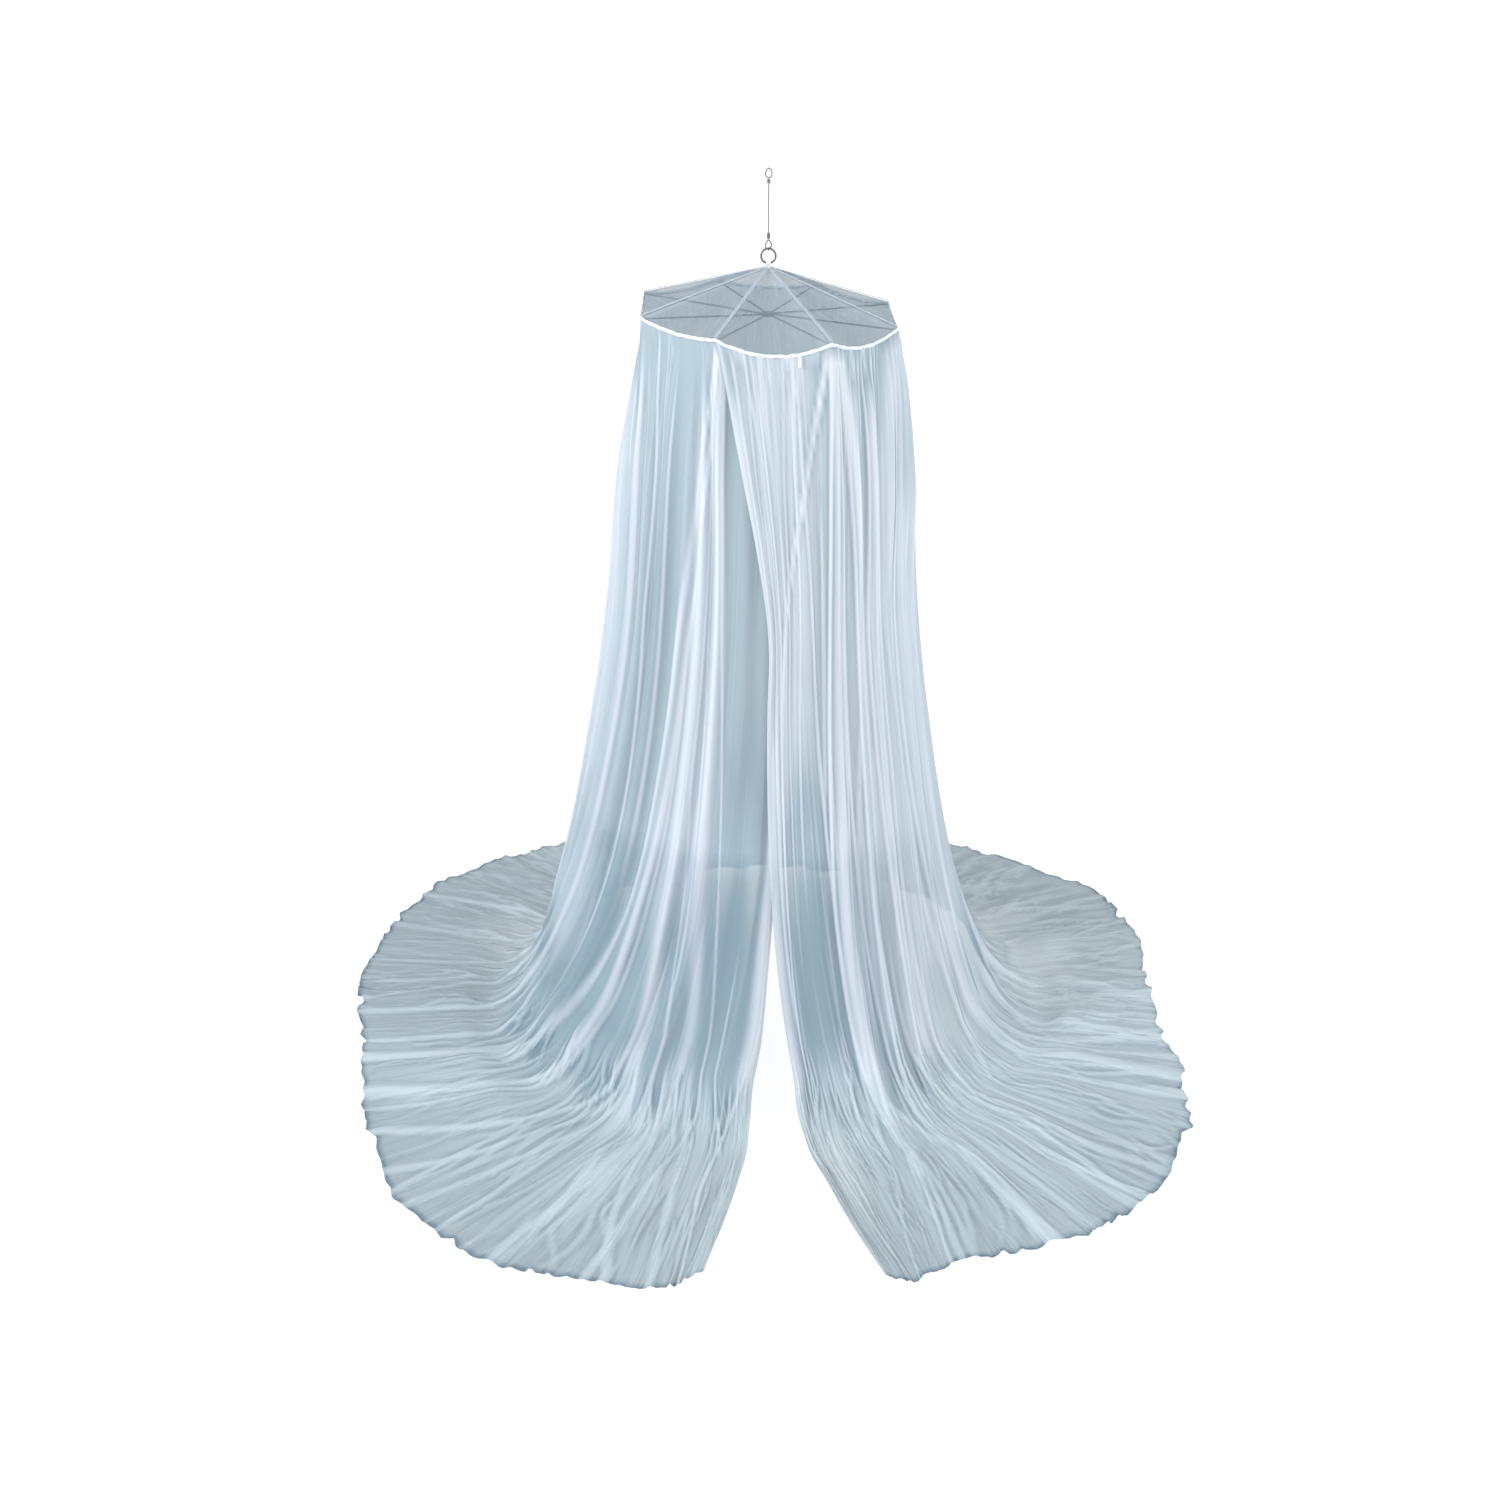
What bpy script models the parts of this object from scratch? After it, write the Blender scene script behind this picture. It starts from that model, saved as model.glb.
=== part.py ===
"""A mosquito net canopy: a sheer skirt hung from an eight-arm spreader and spread on the floor."""

import math
from collections import namedtuple

import bpy

# Heights are above the floor and azimuths run from the front (-Y) towards +X. Lengths are in metres.
HOOK_HEIGHT = 2.222
APEX_HEIGHT = 1.996
RIM_HEIGHT = 1.896
RIM_FALL = 0.045
HUB_HEIGHT = 1.883

CLOTH = 0.002
SEAM_GAP = 0.0006
TOUCH_GAP = 0.0003

TAPE_THICKNESS = 0.0018
RIM_TAPE_WIDTH = 0.010
RIM_TAPE_ABOVE = 0.001
RIDGE_TAPE_WIDTH = 0.008
RIDGE_TAPE_START = 0.014
RIDGE_TAPE_SHORT = 0.003
RIDGE_TAPE_LIFT = 0.0004

SKIRT_DROP = 0.0045
LAYER_GAP_RIM = 0.0034
LAYER_GAP_WALL = 0.014
BACK_PULL = 0.06
FLOOR_START = 0.745

ARM_RADIUS = 0.002
ARM_DROP = 0.0075
HUB_RADIUS = 0.016
HUB_THICKNESS = 0.008
HUB_CHAMFER = 0.001
HALF_CORNER = math.radians(24)
LAPPED_CORNERS = (1, 2)

RING_RADIUS = 0.01715
RING_WIRE = 0.0019
RING_HEIGHT = 2.0211
CORD_RADIUS = 0.00125
CORD_BOTTOM = 2.0773
CORD_TOP = 2.1870
KNOT_HEIGHT = 0.018
KNOT_RADIUS = 0.0045
TOP_KNOT_HEIGHT = 0.013
LOOP_TURN_LOW = math.radians(90)
LOOP_TURN_HIGH = math.radians(25)
LOOP_HALF_WIDTH = 0.0085
LOOP_FULLNESS = 1.05
LOOP_NARROWING = 0.35

TAB_AZIMUTH = 13.0
TAB_WIDTH = 0.010
TAB_LENGTH = 0.028
EYE_WIDTH = 0.012
EYE_HOLE = 0.0026
EYE_SLACK = 0.0018
EYE_WALL = 0.0012

FOLD_STEPS = 4
EDGE_STEPS = 8
ROOF_RINGS = (0.3, 0.65, 1.0)
CORD_STEPS = 18
LOOP_STEPS = 24
EYE_STEPS = 12
TURNED_STEPS = 16

# How far down its length the loose end of tape is, and how far it stands out from the rim there.
TabStep = namedtuple("TabStep", "down swing")
TAB_STEPS = (
    TabStep(0.0, 0.000),
    TabStep(0.4, 0.001),
    TabStep(1.0, 0.004),
)

# A turn of a stopper knot, from its top: shares of the knot's radius and height.
Turn = namedtuple("Turn", "radius rise")
KNOT_TURNS = (
    Turn(0.00, 1.00),
    Turn(0.45, 0.99),
    Turn(0.72, 0.86),
    Turn(0.88, 0.76),
    Turn(0.76, 0.62),
    Turn(1.00, 0.46),
    Turn(1.00, 0.36),
    Turn(0.74, 0.20),
    Turn(0.62, 0.10),
    Turn(0.35, 0.01),
    Turn(0.00, 0.00),
)

# A corner of the rim: its azimuth, its distance from the axis, and how far the edge after it sags.
Corner = namedtuple("Corner", "azimuth radius sag")
CORNERS = (
    Corner(-22.0, 0.325, 0.033),
    Corner(26.0, 0.325, 0.024),
    Corner(68.0, 0.325, 0.006),
    Corner(114.0, 0.322, 0.012),
    Corner(158.0, 0.325, 0.015),
    Corner(202.5, 0.325, 0.012),
    Corner(247.5, 0.325, 0.008),
    Corner(293.0, 0.325, 0.012),
)

# A section of the skirt on its way down: how round it is, how strongly it is folded, and its lean to +X.
Section = namedtuple("Section", "height radius roundness swell lean")
WALL = (
    Section(1.8500, 0.3255, 0.03, 0.06, 0.000),
    Section(1.7400, 0.3350, 0.40, 0.40, 0.000),
    Section(1.5800, 0.3460, 0.80, 0.75, -0.002),
    Section(1.4000, 0.3580, 1.00, 0.95, -0.004),
    Section(1.2000, 0.3750, 1.00, 1.00, -0.008),
    Section(1.0000, 0.4000, 1.00, 1.05, -0.012),
    Section(0.8000, 0.4330, 1.00, 1.10, -0.015),
    Section(0.6200, 0.4660, 1.00, 1.15, -0.017),
    Section(0.4600, 0.5030, 1.00, 1.20, -0.018),
    Section(0.3200, 0.5450, 1.00, 1.25, -0.018),
    Section(0.2000, 0.5900, 1.00, 1.30, -0.017),
    Section(0.1050, 0.6360, 1.00, 1.30, -0.014),
    Section(0.0420, 0.6880, 1.00, 1.25, -0.009),
    Section(0.0080, 0.7450, 1.00, 1.10, -0.004),
)

# A section of the skirt on the floor: its share of the way out to the hem, and how strongly it is folded.
Spread = namedtuple("Spread", "share swell")
FLOOR = (
    Spread(0.30, 0.85),
    Spread(0.65, 0.60),
    Spread(1.00, 0.35),
)

# A fold's azimuth at the rim, the waist, the foot and the hem, its crest, and the hem's distance there.
# The first and the last are the two edges of the front opening, and between the rim and the waist the
# first panel lies outside the last one.
Fold = namedtuple("Fold", "rim waist foot hem crest reach")
FOLDS = (
    Fold(-22.0, 1.2, 7.8, 12.0, 0.005, 1.24),
    Fold(-6.0, 6.0, 11.5, 14.0, 0.006, 1.27),
    Fold(10.0, 14.0, 17.5, 16.5, 0.008, 1.26),
    Fold(26.0, 25.0, 26.0, 20.0, 0.022, 1.24),
    Fold(38.0, 36.0, 33.0, 31.5, 0.020, 1.28),
    Fold(48.0, 44.0, 39.0, 37.5, 0.022, 1.30),
    Fold(58.0, 53.0, 46.0, 45.0, 0.020, 1.29),
    Fold(68.0, 64.0, 55.0, 57.0, 0.022, 1.23),
    Fold(80.0, 76.0, 65.0, 68.0, 0.018, 1.15),
    Fold(91.0, 88.0, 78.0, 79.5, 0.024, 1.06),
    Fold(103.0, 101.0, 92.0, 92.0, 0.018, 1.05),
    Fold(114.0, 112.0, 106.0, 105.0, 0.024, 1.10),
    Fold(125.0, 124.0, 120.0, 118.0, 0.017, 1.12),
    Fold(136.0, 135.0, 133.0, 132.0, 0.022, 1.05),
    Fold(147.0, 147.0, 146.0, 146.0, 0.016, 1.01),
    Fold(158.0, 159.0, 159.0, 159.0, 0.024, 0.98),
    Fold(170.0, 170.5, 171.0, 171.0, 0.018, 0.99),
    Fold(181.0, 182.0, 181.0, 182.0, 0.020, 1.00),
    Fold(192.0, 193.0, 191.0, 193.0, 0.016, 0.98),
    Fold(202.5, 205.0, 200.0, 202.0, 0.024, 1.00),
    Fold(214.0, 216.5, 209.0, 211.0, 0.018, 1.05),
    Fold(225.0, 228.0, 219.0, 220.5, 0.022, 1.05),
    Fold(236.0, 240.0, 229.0, 230.0, 0.017, 1.10),
    Fold(247.5, 252.0, 238.5, 239.0, 0.024, 1.13),
    Fold(259.0, 264.0, 248.0, 248.5, 0.018, 1.13),
    Fold(270.0, 276.0, 257.0, 257.5, 0.022, 1.12),
    Fold(282.0, 287.0, 266.0, 266.0, 0.018, 1.12),
    Fold(293.0, 297.0, 275.0, 274.0, 0.022, 1.11),
    Fold(304.0, 306.0, 286.0, 282.5, 0.018, 1.09),
    Fold(315.0, 315.0, 298.0, 292.0, 0.022, 1.12),
    Fold(326.0, 326.5, 310.0, 305.0, 0.022, 1.19),
    Fold(332.0, 335.0, 323.0, 319.0, 0.018, 1.29),
    Fold(338.0, 342.3, 334.0, 331.0, 0.024, 1.33),
    Fold(352.0, 352.0, 343.0, 344.0, 0.008, 1.29),
    Fold(370.0, 361.0, 350.5, 349.5, 0.006, 1.28),
    Fold(386.0, 367.2, 356.3, 353.0, 0.005, 1.21),
)
WAIST_HEIGHT = 1.20
FOOT_HEIGHT = 0.105
FOOT_EASE = 2.4
RIM_BOW = 0.25
INNER_LAYER_FROM = 26
INNER_LAYER_FULL = 31


def mix(a, b, share):
    return a + (b - a) * share


def ease(share):
    share = min(max(share, 0.0), 1.0)
    return share * share * (3 - 2 * share)


def at(azimuth, radius, height):
    """The point at this azimuth in degrees, distance from the axis and height above the floor."""
    angle = math.radians(azimuth)
    return (radius * math.sin(angle), -radius * math.cos(angle), height)


def rim_at(azimuth):
    """(radius, height) of the sagging octagon where the roof and the skirt meet."""
    azimuth = (azimuth - CORNERS[0].azimuth) % 360 + CORNERS[0].azimuth
    here = max(i for i, corner in enumerate(CORNERS) if corner.azimuth <= azimuth + 1e-6)
    first = CORNERS[here]
    last = CORNERS[(here + 1) % len(CORNERS)]
    span = math.radians((last.azimuth - first.azimuth) % 360)
    turn = math.radians(azimuth - first.azimuth)
    before = first.radius * math.sin(turn)
    after = last.radius * math.sin(span - turn)
    radius = first.radius * last.radius * math.sin(span) / (before + after)
    share = before / (before + after)
    step = min(int(share * EDGE_STEPS + 1e-6), EDGE_STEPS - 1)
    sags = [first.sag * 4 * t * (1 - t) for t in (step / EDGE_STEPS, (step + 1) / EDGE_STEPS)]
    drop = mix(sags[0], sags[1], share * EDGE_STEPS - step)
    fall = RIM_FALL * radius * math.sin(math.radians(azimuth))
    return radius, RIM_HEIGHT - fall - drop


def rim_azimuths():
    """The azimuths of the rim's points: each corner, and the steps along the edge after it."""
    azimuths = []
    for i, first in enumerate(CORNERS):
        last = CORNERS[(i + 1) % len(CORNERS)]
        start = at(first.azimuth, first.radius, 0)
        end = at(last.azimuth, last.radius, 0)
        for step in range(EDGE_STEPS):
            share = step / EDGE_STEPS
            x, y = (mix(start[k], end[k], share) for k in (0, 1))
            azimuths.append(math.degrees(math.atan2(x, -y)))
    return azimuths


def fold_azimuth(fold, height, share):
    """A fold's azimuth at this height of the wall, or at this share of the way out on the floor."""
    if share > 0:
        return mix(fold.foot, fold.hem, share)
    if height >= WAIST_HEIGHT:
        down = (RIM_HEIGHT - height) / (RIM_HEIGHT - WAIST_HEIGHT)
        return mix(fold.rim, fold.waist, down * (1 + RIM_BOW * (1 - down**2)))
    down = (WAIST_HEIGHT - height) / (WAIST_HEIGHT - FOOT_HEIGHT)
    return mix(fold.waist, fold.foot, min(down, 1.0) ** FOOT_EASE)


def column(across):
    """The two folds beside this place across the skirt, and the share of the way between them."""
    left = min(int(across), len(FOLDS) - 2)
    return FOLDS[left], FOLDS[left + 1], across - left


def crest_at(across):
    """The height of the folds' wave here: each fold's own crest, and zero half-way to the next."""
    left, right, share = column(across)
    return mix(left.crest, right.crest, share) * (0.5 + 0.5 * math.cos(2 * math.pi * share))


def layer_inset(across, gap):
    """How far the last panel lies inside the first one, where they overlap at the front."""
    reached = (across - INNER_LAYER_FROM) / (INNER_LAYER_FULL - INNER_LAYER_FROM)
    return gap * ease(reached)


def rim_row_point(across):
    """A point of the skirt's top edge, which follows the rim inside its tape."""
    left, right, share = column(across)
    azimuth = mix(left.rim, right.rim, share)
    radius, height = rim_at(azimuth)
    inset = SEAM_GAP + CLOTH / 2 + layer_inset(across, LAYER_GAP_RIM)
    return at(azimuth, radius - inset, height - SKIRT_DROP)


def wall_point(across, section):
    """A point of the hanging part of the skirt, which turns from the rim's octagon to a round bell."""
    left, right, share = column(across)
    azimuth = mix(
        fold_azimuth(left, section.height, 0),
        fold_azimuth(right, section.height, 0),
        share,
    )
    rim_radius, rim_height = rim_at(azimuth)
    square = rim_radius * section.radius / CORNERS[0].radius
    radius = mix(square, section.radius, section.roundness)
    down = 1 - section.height / RIM_HEIGHT
    back = (0.5 - 0.5 * math.cos(math.radians(azimuth))) ** 2
    radius -= BACK_PULL * back * down**2
    wave = crest_at(across) - mix(left.crest, right.crest, share) / 2
    radius += section.swell * wave
    radius -= layer_inset(across, mix(LAYER_GAP_RIM, LAYER_GAP_WALL, section.roundness))
    height = section.height + (rim_height - RIM_HEIGHT) * (1 - section.roundness)
    x, y, z = at(azimuth, radius, max(height, CLOTH / 2))
    return (x + section.lean, y, z)


def floor_point(across, spread):
    """A point of the skirt on the floor, where the folds stand up and die out towards the hem."""
    left, right, share = column(across)
    azimuth = mix(
        fold_azimuth(left, 0, spread.share),
        fold_azimuth(right, 0, spread.share),
        share,
    )
    back = (0.5 - 0.5 * math.cos(math.radians(azimuth))) ** 2
    start = FLOOR_START - BACK_PULL * back
    reach = mix(left.reach, right.reach, ease(share))
    radius = mix(start, reach, spread.share)
    return at(azimuth, radius, CLOTH / 2 + spread.swell * crest_at(across))


def mesh_object(name, points, faces, material):
    mesh = bpy.data.meshes.new(name)
    mesh.from_pydata(points, [], faces)
    mesh.materials.append(material)
    mesh.shade_smooth()
    return place(bpy.data.objects.new(name, mesh))


def place(obj):
    """Puts an object in the part's collection and under its hanging point."""
    bpy.data.collections["mosquito_net_canopy"].objects.link(obj)
    obj.parent = bpy.data.objects["hanging_point"]
    return obj


def solidify(obj, thickness, offset):
    wall = obj.modifiers.new("thickness", "SOLIDIFY")
    wall.thickness = thickness
    wall.offset = offset
    return obj


def grid_faces(rows, columns, closed=False):
    """Quads of a grid whose points run row by row, with the columns joined up if it is closed."""
    faces = []
    for row in range(rows - 1):
        for left in range(columns if closed else columns - 1):
            right = (left + 1) % columns
            top = row * columns
            low = top + columns
            faces.append((top + left, low + left, low + right, top + right))
    return faces


def tube(name, points, radius, material, cyclic=False):
    """A round cord or rod along these points."""
    curve = bpy.data.curves.new(name, "CURVE")
    curve.dimensions = "3D"
    curve.bevel_depth = radius
    curve.bevel_resolution = 2
    curve.use_fill_caps = not cyclic
    spline = curve.splines.new("POLY")
    spline.points.add(len(points) - 1)
    for spot, point in zip(spline.points, points):
        spot.co = (*point, 1)
    spline.use_cyclic_u = cyclic
    curve.materials.append(material)
    return place(bpy.data.objects.new(name, curve))


def turned(name, profile, height, material):
    """A turned piece from (radius, height) pairs, top to bottom, standing at this height."""
    points = [(radius, 0, z) for radius, z in profile]
    mesh = bpy.data.meshes.new(name)
    mesh.from_pydata(points, [(i, i + 1) for i in range(len(points) - 1)], [])
    mesh.materials.append(material)
    obj = place(bpy.data.objects.new(name, mesh))
    obj.location.z = height
    turn = obj.modifiers.new("turn", "SCREW")
    turn.steps = TURNED_STEPS
    turn.render_steps = TURNED_STEPS
    turn.use_merge_vertices = True
    turn.merge_threshold = 0.00001
    turn.use_smooth_shade = True
    return obj


def finish(name, colour, roughness, metallic=0.0):
    material = bpy.data.materials.new(name)
    material.use_nodes = True
    shader = material.node_tree.nodes["Principled BSDF"]
    shader.inputs["Base Color"].default_value = (*colour, 1)
    shader.inputs["Roughness"].default_value = roughness
    shader.inputs["Metallic"].default_value = metallic
    return material


def add_skirt(cloth):
    steps = (len(FOLDS) - 1) * FOLD_STEPS
    places = [i / FOLD_STEPS for i in range(steps + 1)]
    rows = [[rim_row_point(across) for across in places]]
    rows += [[wall_point(across, section) for across in places] for section in WALL]
    rows += [[floor_point(across, spread) for across in places] for spread in FLOOR]
    points = [point for row in rows for point in row]
    faces = grid_faces(len(rows), len(places))
    solidify(mesh_object("net_skirt", points, faces, cloth), CLOTH, 0)


def add_roof(cloth):
    """The pyramid roof: straight ridges to the corners, and slack panels between them."""
    azimuths = rim_azimuths()
    points = []
    for ring in ROOF_RINGS:
        for azimuth in azimuths:
            radius, height = rim_at(azimuth)
            spot = at(azimuth, (radius - SEAM_GAP) * ring, mix(APEX_HEIGHT, height, ring))
            points.append(spot)
    faces = grid_faces(len(ROOF_RINGS), len(azimuths), closed=True)
    points.append((0, 0, APEX_HEIGHT))
    tip = len(points) - 1
    for left in range(len(azimuths)):
        faces.append((tip, left, (left + 1) % len(azimuths)))
    solidify(mesh_object("roof_cloth", points, faces, cloth), CLOTH, -1)


def add_rim_tape(tape):
    azimuths = rim_azimuths()
    top = []
    low = []
    for azimuth in azimuths:
        radius, height = rim_at(azimuth)
        top.append(at(azimuth, radius, height + RIM_TAPE_ABOVE))
        low.append(at(azimuth, radius, height + RIM_TAPE_ABOVE - RIM_TAPE_WIDTH))
    faces = grid_faces(2, len(azimuths), closed=True)
    solidify(mesh_object("rim_tape", top + low, faces, tape), TAPE_THICKNESS, 1)


def add_ridge_tapes(tape):
    for number, corner in enumerate(CORNERS, 1):
        radius, height = rim_at(corner.azimuth)
        fall = (APEX_HEIGHT - height) / radius
        points = []
        for distance in (RIDGE_TAPE_START, radius / 2, radius - RIDGE_TAPE_SHORT):
            x, y, z = at(corner.azimuth, distance, APEX_HEIGHT - fall * distance + RIDGE_TAPE_LIFT)
            side = at(corner.azimuth + 90, RIDGE_TAPE_WIDTH / 2, 0)
            points.append((x - side[0], y - side[1], z))
            points.append((x + side[0], y + side[1], z))
        solidify(mesh_object(f"ridge_tape_{number}", points, grid_faces(3, 2), tape), TAPE_THICKNESS, 1)


def add_tape_tab(tape):
    """A short loose end of tape that hangs from the rim between the two front corners."""
    radius, height = rim_at(TAB_AZIMUTH)
    facing = (CORNERS[0].azimuth + CORNERS[1].azimuth) / 2
    side = at(facing + 90, TAB_WIDTH / 2, 0)
    top = height + RIM_TAPE_ABOVE - RIM_TAPE_WIDTH / 2
    points = []
    for step in TAB_STEPS:
        x, y, z = at(TAB_AZIMUTH, radius, top - TAB_LENGTH * step.down)
        out = at(facing, TAPE_THICKNESS + TOUCH_GAP + step.swing, 0)
        points.append((x + out[0] - side[0], y + out[1] - side[1], z))
        points.append((x + out[0] + side[0], y + out[1] + side[1], z))
    solidify(mesh_object("tape_tab", points, grid_faces(3, 2), tape), TAPE_THICKNESS, 1)


def add_spreader(rod, plastic):
    half = HUB_THICKNESS / 2
    edge = HUB_RADIUS - HUB_CHAMFER
    profile = ((0, half), (edge, half), (HUB_RADIUS, half - HUB_CHAMFER))
    profile += ((HUB_RADIUS, HUB_CHAMFER - half), (edge, -half), (0, -half))
    turned("spreader_hub", profile, HUB_HEIGHT, plastic)
    for number, corner in enumerate(CORNERS, 1):
        inset = SEAM_GAP + CLOTH + TOUCH_GAP + ARM_RADIUS * math.tan(HALF_CORNER)
        inset += LAYER_GAP_RIM if number in LAPPED_CORNERS else 0
        radius, height = rim_at(corner.azimuth)
        start = at(corner.azimuth, HUB_RADIUS + TOUCH_GAP, HUB_HEIGHT)
        end = at(corner.azimuth, radius - inset, height - ARM_DROP)
        tube(f"spreader_arm_{number}", (start, end), ARM_RADIUS, rod)


def add_ring(metal):
    bpy.ops.mesh.primitive_torus_add(
        major_radius=RING_RADIUS,
        minor_radius=RING_WIRE,
        major_segments=36,
        minor_segments=8,
        rotation=(math.pi / 2, 0, 0),
    )
    ring = bpy.context.object
    ring.name = "metal_ring"
    for collection in ring.users_collection:
        collection.objects.unlink(ring)
    ring.location.z = RING_HEIGHT
    ring.data.materials.append(metal)
    ring.data.shade_smooth()
    place(ring)


def add_ring_eye(tape):
    """The folded tape at the apex: an eye with the metal ring through it, and its sewn end below."""
    wire_low = RING_HEIGHT - RING_RADIUS - RING_WIRE
    base = APEX_HEIGHT + TOUCH_GAP
    outline = bpy.data.curves.new("ring_eye", "CURVE")
    outline.dimensions = "2D"
    outline.fill_mode = "BOTH"
    outline.extrude = EYE_WIDTH / 2
    hole_low = wire_low - TOUCH_GAP - base
    hole_high = hole_low + 2 * RING_WIRE + EYE_SLACK
    middle = (hole_low + hole_high) / 2
    for grow in (EYE_WALL, 0.0):
        spline = outline.splines.new("POLY")
        spline.points.add(EYE_STEPS - 1)
        for i, spot in enumerate(spline.points):
            angle = 2 * math.pi * i / EYE_STEPS
            sewn_end = grow > 0 and math.sin(angle) < 0
            tall = middle if sewn_end else (hole_high - hole_low) / 2 + grow
            wide = EYE_HOLE + grow
            spot.co = (wide * math.cos(angle), middle + tall * math.sin(angle), 0, 1)
        spline.use_cyclic_u = True
    outline.materials.append(tape)
    eye = place(bpy.data.objects.new("ring_eye", outline))
    eye.rotation_euler = (math.pi / 2, 0, math.pi / 2)
    eye.location.z = base


def loop_points(low, high, turn_low, turn_high):
    """A pear-shaped loop of cord between two heights, which turns about its own height on its way up."""
    points = []
    for i in range(LOOP_STEPS):
        angle = 2 * math.pi * i / LOOP_STEPS
        rise = (1 - math.cos(angle)) / 2
        out = LOOP_HALF_WIDTH * math.sin(angle) * (LOOP_FULLNESS - LOOP_NARROWING * rise)
        turn = mix(turn_low, turn_high, ease(2 * rise))
        points.append((out * math.cos(turn), out * math.sin(turn), mix(low, high, rise)))
    return points


def knot_profile(height):
    """The outline of a stopper knot of this height, from its top."""
    return [(KNOT_RADIUS * turn.radius, height * turn.rise) for turn in KNOT_TURNS]


def add_cord(cord):
    """The hanging cord, with a loop through the metal ring below and a loop for the hook above."""
    knot_low = CORD_BOTTOM - TOUCH_GAP - KNOT_HEIGHT
    ring_top = RING_HEIGHT + RING_RADIUS
    lowest = ring_top - RING_WIRE - CORD_RADIUS - TOUCH_GAP
    highest = knot_low - TOUCH_GAP - CORD_RADIUS
    low_loop = loop_points(lowest, highest, LOOP_TURN_LOW, LOOP_TURN_HIGH)
    tube("ring_loop", low_loop, CORD_RADIUS, cord, cyclic=True)
    turned("cord_knot", knot_profile(KNOT_HEIGHT), knot_low, cord)
    rise = (CORD_TOP - CORD_BOTTOM) / CORD_STEPS
    path = [(0, 0, CORD_BOTTOM + rise * i) for i in range(CORD_STEPS + 1)]
    tube("hanging_cord", path, CORD_RADIUS, cord)
    turned("top_knot", knot_profile(TOP_KNOT_HEIGHT), CORD_TOP + TOUCH_GAP, cord)
    loop_low = CORD_TOP + TOP_KNOT_HEIGHT + 2 * TOUCH_GAP + CORD_RADIUS
    hook_loop = loop_points(loop_low, HOOK_HEIGHT + CORD_RADIUS, 0, 0)
    tube("hook_loop", hook_loop, CORD_RADIUS, cord, cyclic=True)


def clear_scene():
    for obj in list(bpy.data.objects):
        bpy.data.objects.remove(obj)


def main():
    clear_scene()
    collection = bpy.data.collections.new("mosquito_net_canopy")
    bpy.context.scene.collection.children.link(collection)
    hanging_point = bpy.data.objects.new("hanging_point", None)
    hanging_point.location.z = -HOOK_HEIGHT
    collection.objects.link(hanging_point)
    net = finish("net", (0.62, 0.70, 0.76), 0.8)
    tape = finish("tape", (0.86, 0.90, 0.94), 0.7)
    rod = finish("rod", (0.22, 0.25, 0.28), 0.4)
    plastic = finish("hub_plastic", (0.30, 0.33, 0.36), 0.45)
    metal = finish("ring_metal", (0.66, 0.64, 0.58), 0.3, 1.0)
    cord = finish("cord", (0.50, 0.49, 0.47), 0.8)
    add_skirt(net)
    add_roof(net)
    add_rim_tape(tape)
    add_ridge_tapes(tape)
    add_tape_tab(tape)
    add_spreader(rod, plastic)
    add_ring(metal)
    add_ring_eye(tape)
    add_cord(cord)


main()
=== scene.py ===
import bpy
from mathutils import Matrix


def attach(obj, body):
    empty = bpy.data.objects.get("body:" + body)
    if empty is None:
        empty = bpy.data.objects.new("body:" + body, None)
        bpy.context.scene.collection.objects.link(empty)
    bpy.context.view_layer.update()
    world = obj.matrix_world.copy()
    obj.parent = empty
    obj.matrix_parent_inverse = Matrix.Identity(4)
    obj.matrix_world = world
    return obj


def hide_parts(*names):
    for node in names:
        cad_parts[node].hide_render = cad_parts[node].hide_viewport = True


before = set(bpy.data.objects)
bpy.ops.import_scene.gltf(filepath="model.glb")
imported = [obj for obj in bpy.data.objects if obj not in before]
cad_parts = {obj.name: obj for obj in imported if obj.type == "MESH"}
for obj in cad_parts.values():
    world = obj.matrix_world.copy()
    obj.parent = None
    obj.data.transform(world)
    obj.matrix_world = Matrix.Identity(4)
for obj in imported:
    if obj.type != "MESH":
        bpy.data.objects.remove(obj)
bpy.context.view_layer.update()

import math
from collections import namedtuple

import bmesh
import bpy
import numpy as np
from mathutils import Vector

# Heights are above the floor and azimuths run from the front (-Y) towards +X. Lengths are in metres.
HOOK_HEIGHT = 2.222
APEX_HEIGHT = 1.996
RIM_HEIGHT = 1.896
RIM_FALL = 0.045
SEAM_INSET = 0.0016
SKIRT_DROP = 0.0045
SHEET_LIFT = 0.0012
LAYER_GAP_RIM = 0.0034
LAYER_GAP_WALL = 0.014
BACK_PULL = 0.06
FLOOR_START = 0.745
WAIST_HEIGHT = 1.20
FOOT_HEIGHT = 0.105
FOOT_EASE = 2.4
RIM_BOW = 0.25
INNER_LAYER_FROM = 26
INNER_LAYER_FULL = 31

# The ring, the cord, and the cord's loops and knots.
RING_RADIUS = 0.01715
RING_WIRE = 0.0019
RING_FULLNESS = 1.2
RING_HEIGHT = 2.0211
CORD_RADIUS = 0.00125
CORD_BOTTOM = 2.0773
CORD_TOP = 2.1870
LOOP_CORD_RADIUS = 1.15 * CORD_RADIUS
CORD_STEPS = 144
STRANDS = 3
CORD_TWIST = 0.009
KNOT_HEIGHT = 0.018
TOP_KNOT_HEIGHT = 0.013
LOOP_HALF_WIDTH = 0.0085
LOOP_FULLNESS = 1.05
LOOP_NARROWING = 0.35
TOUCH_GAP = 0.0003

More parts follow.
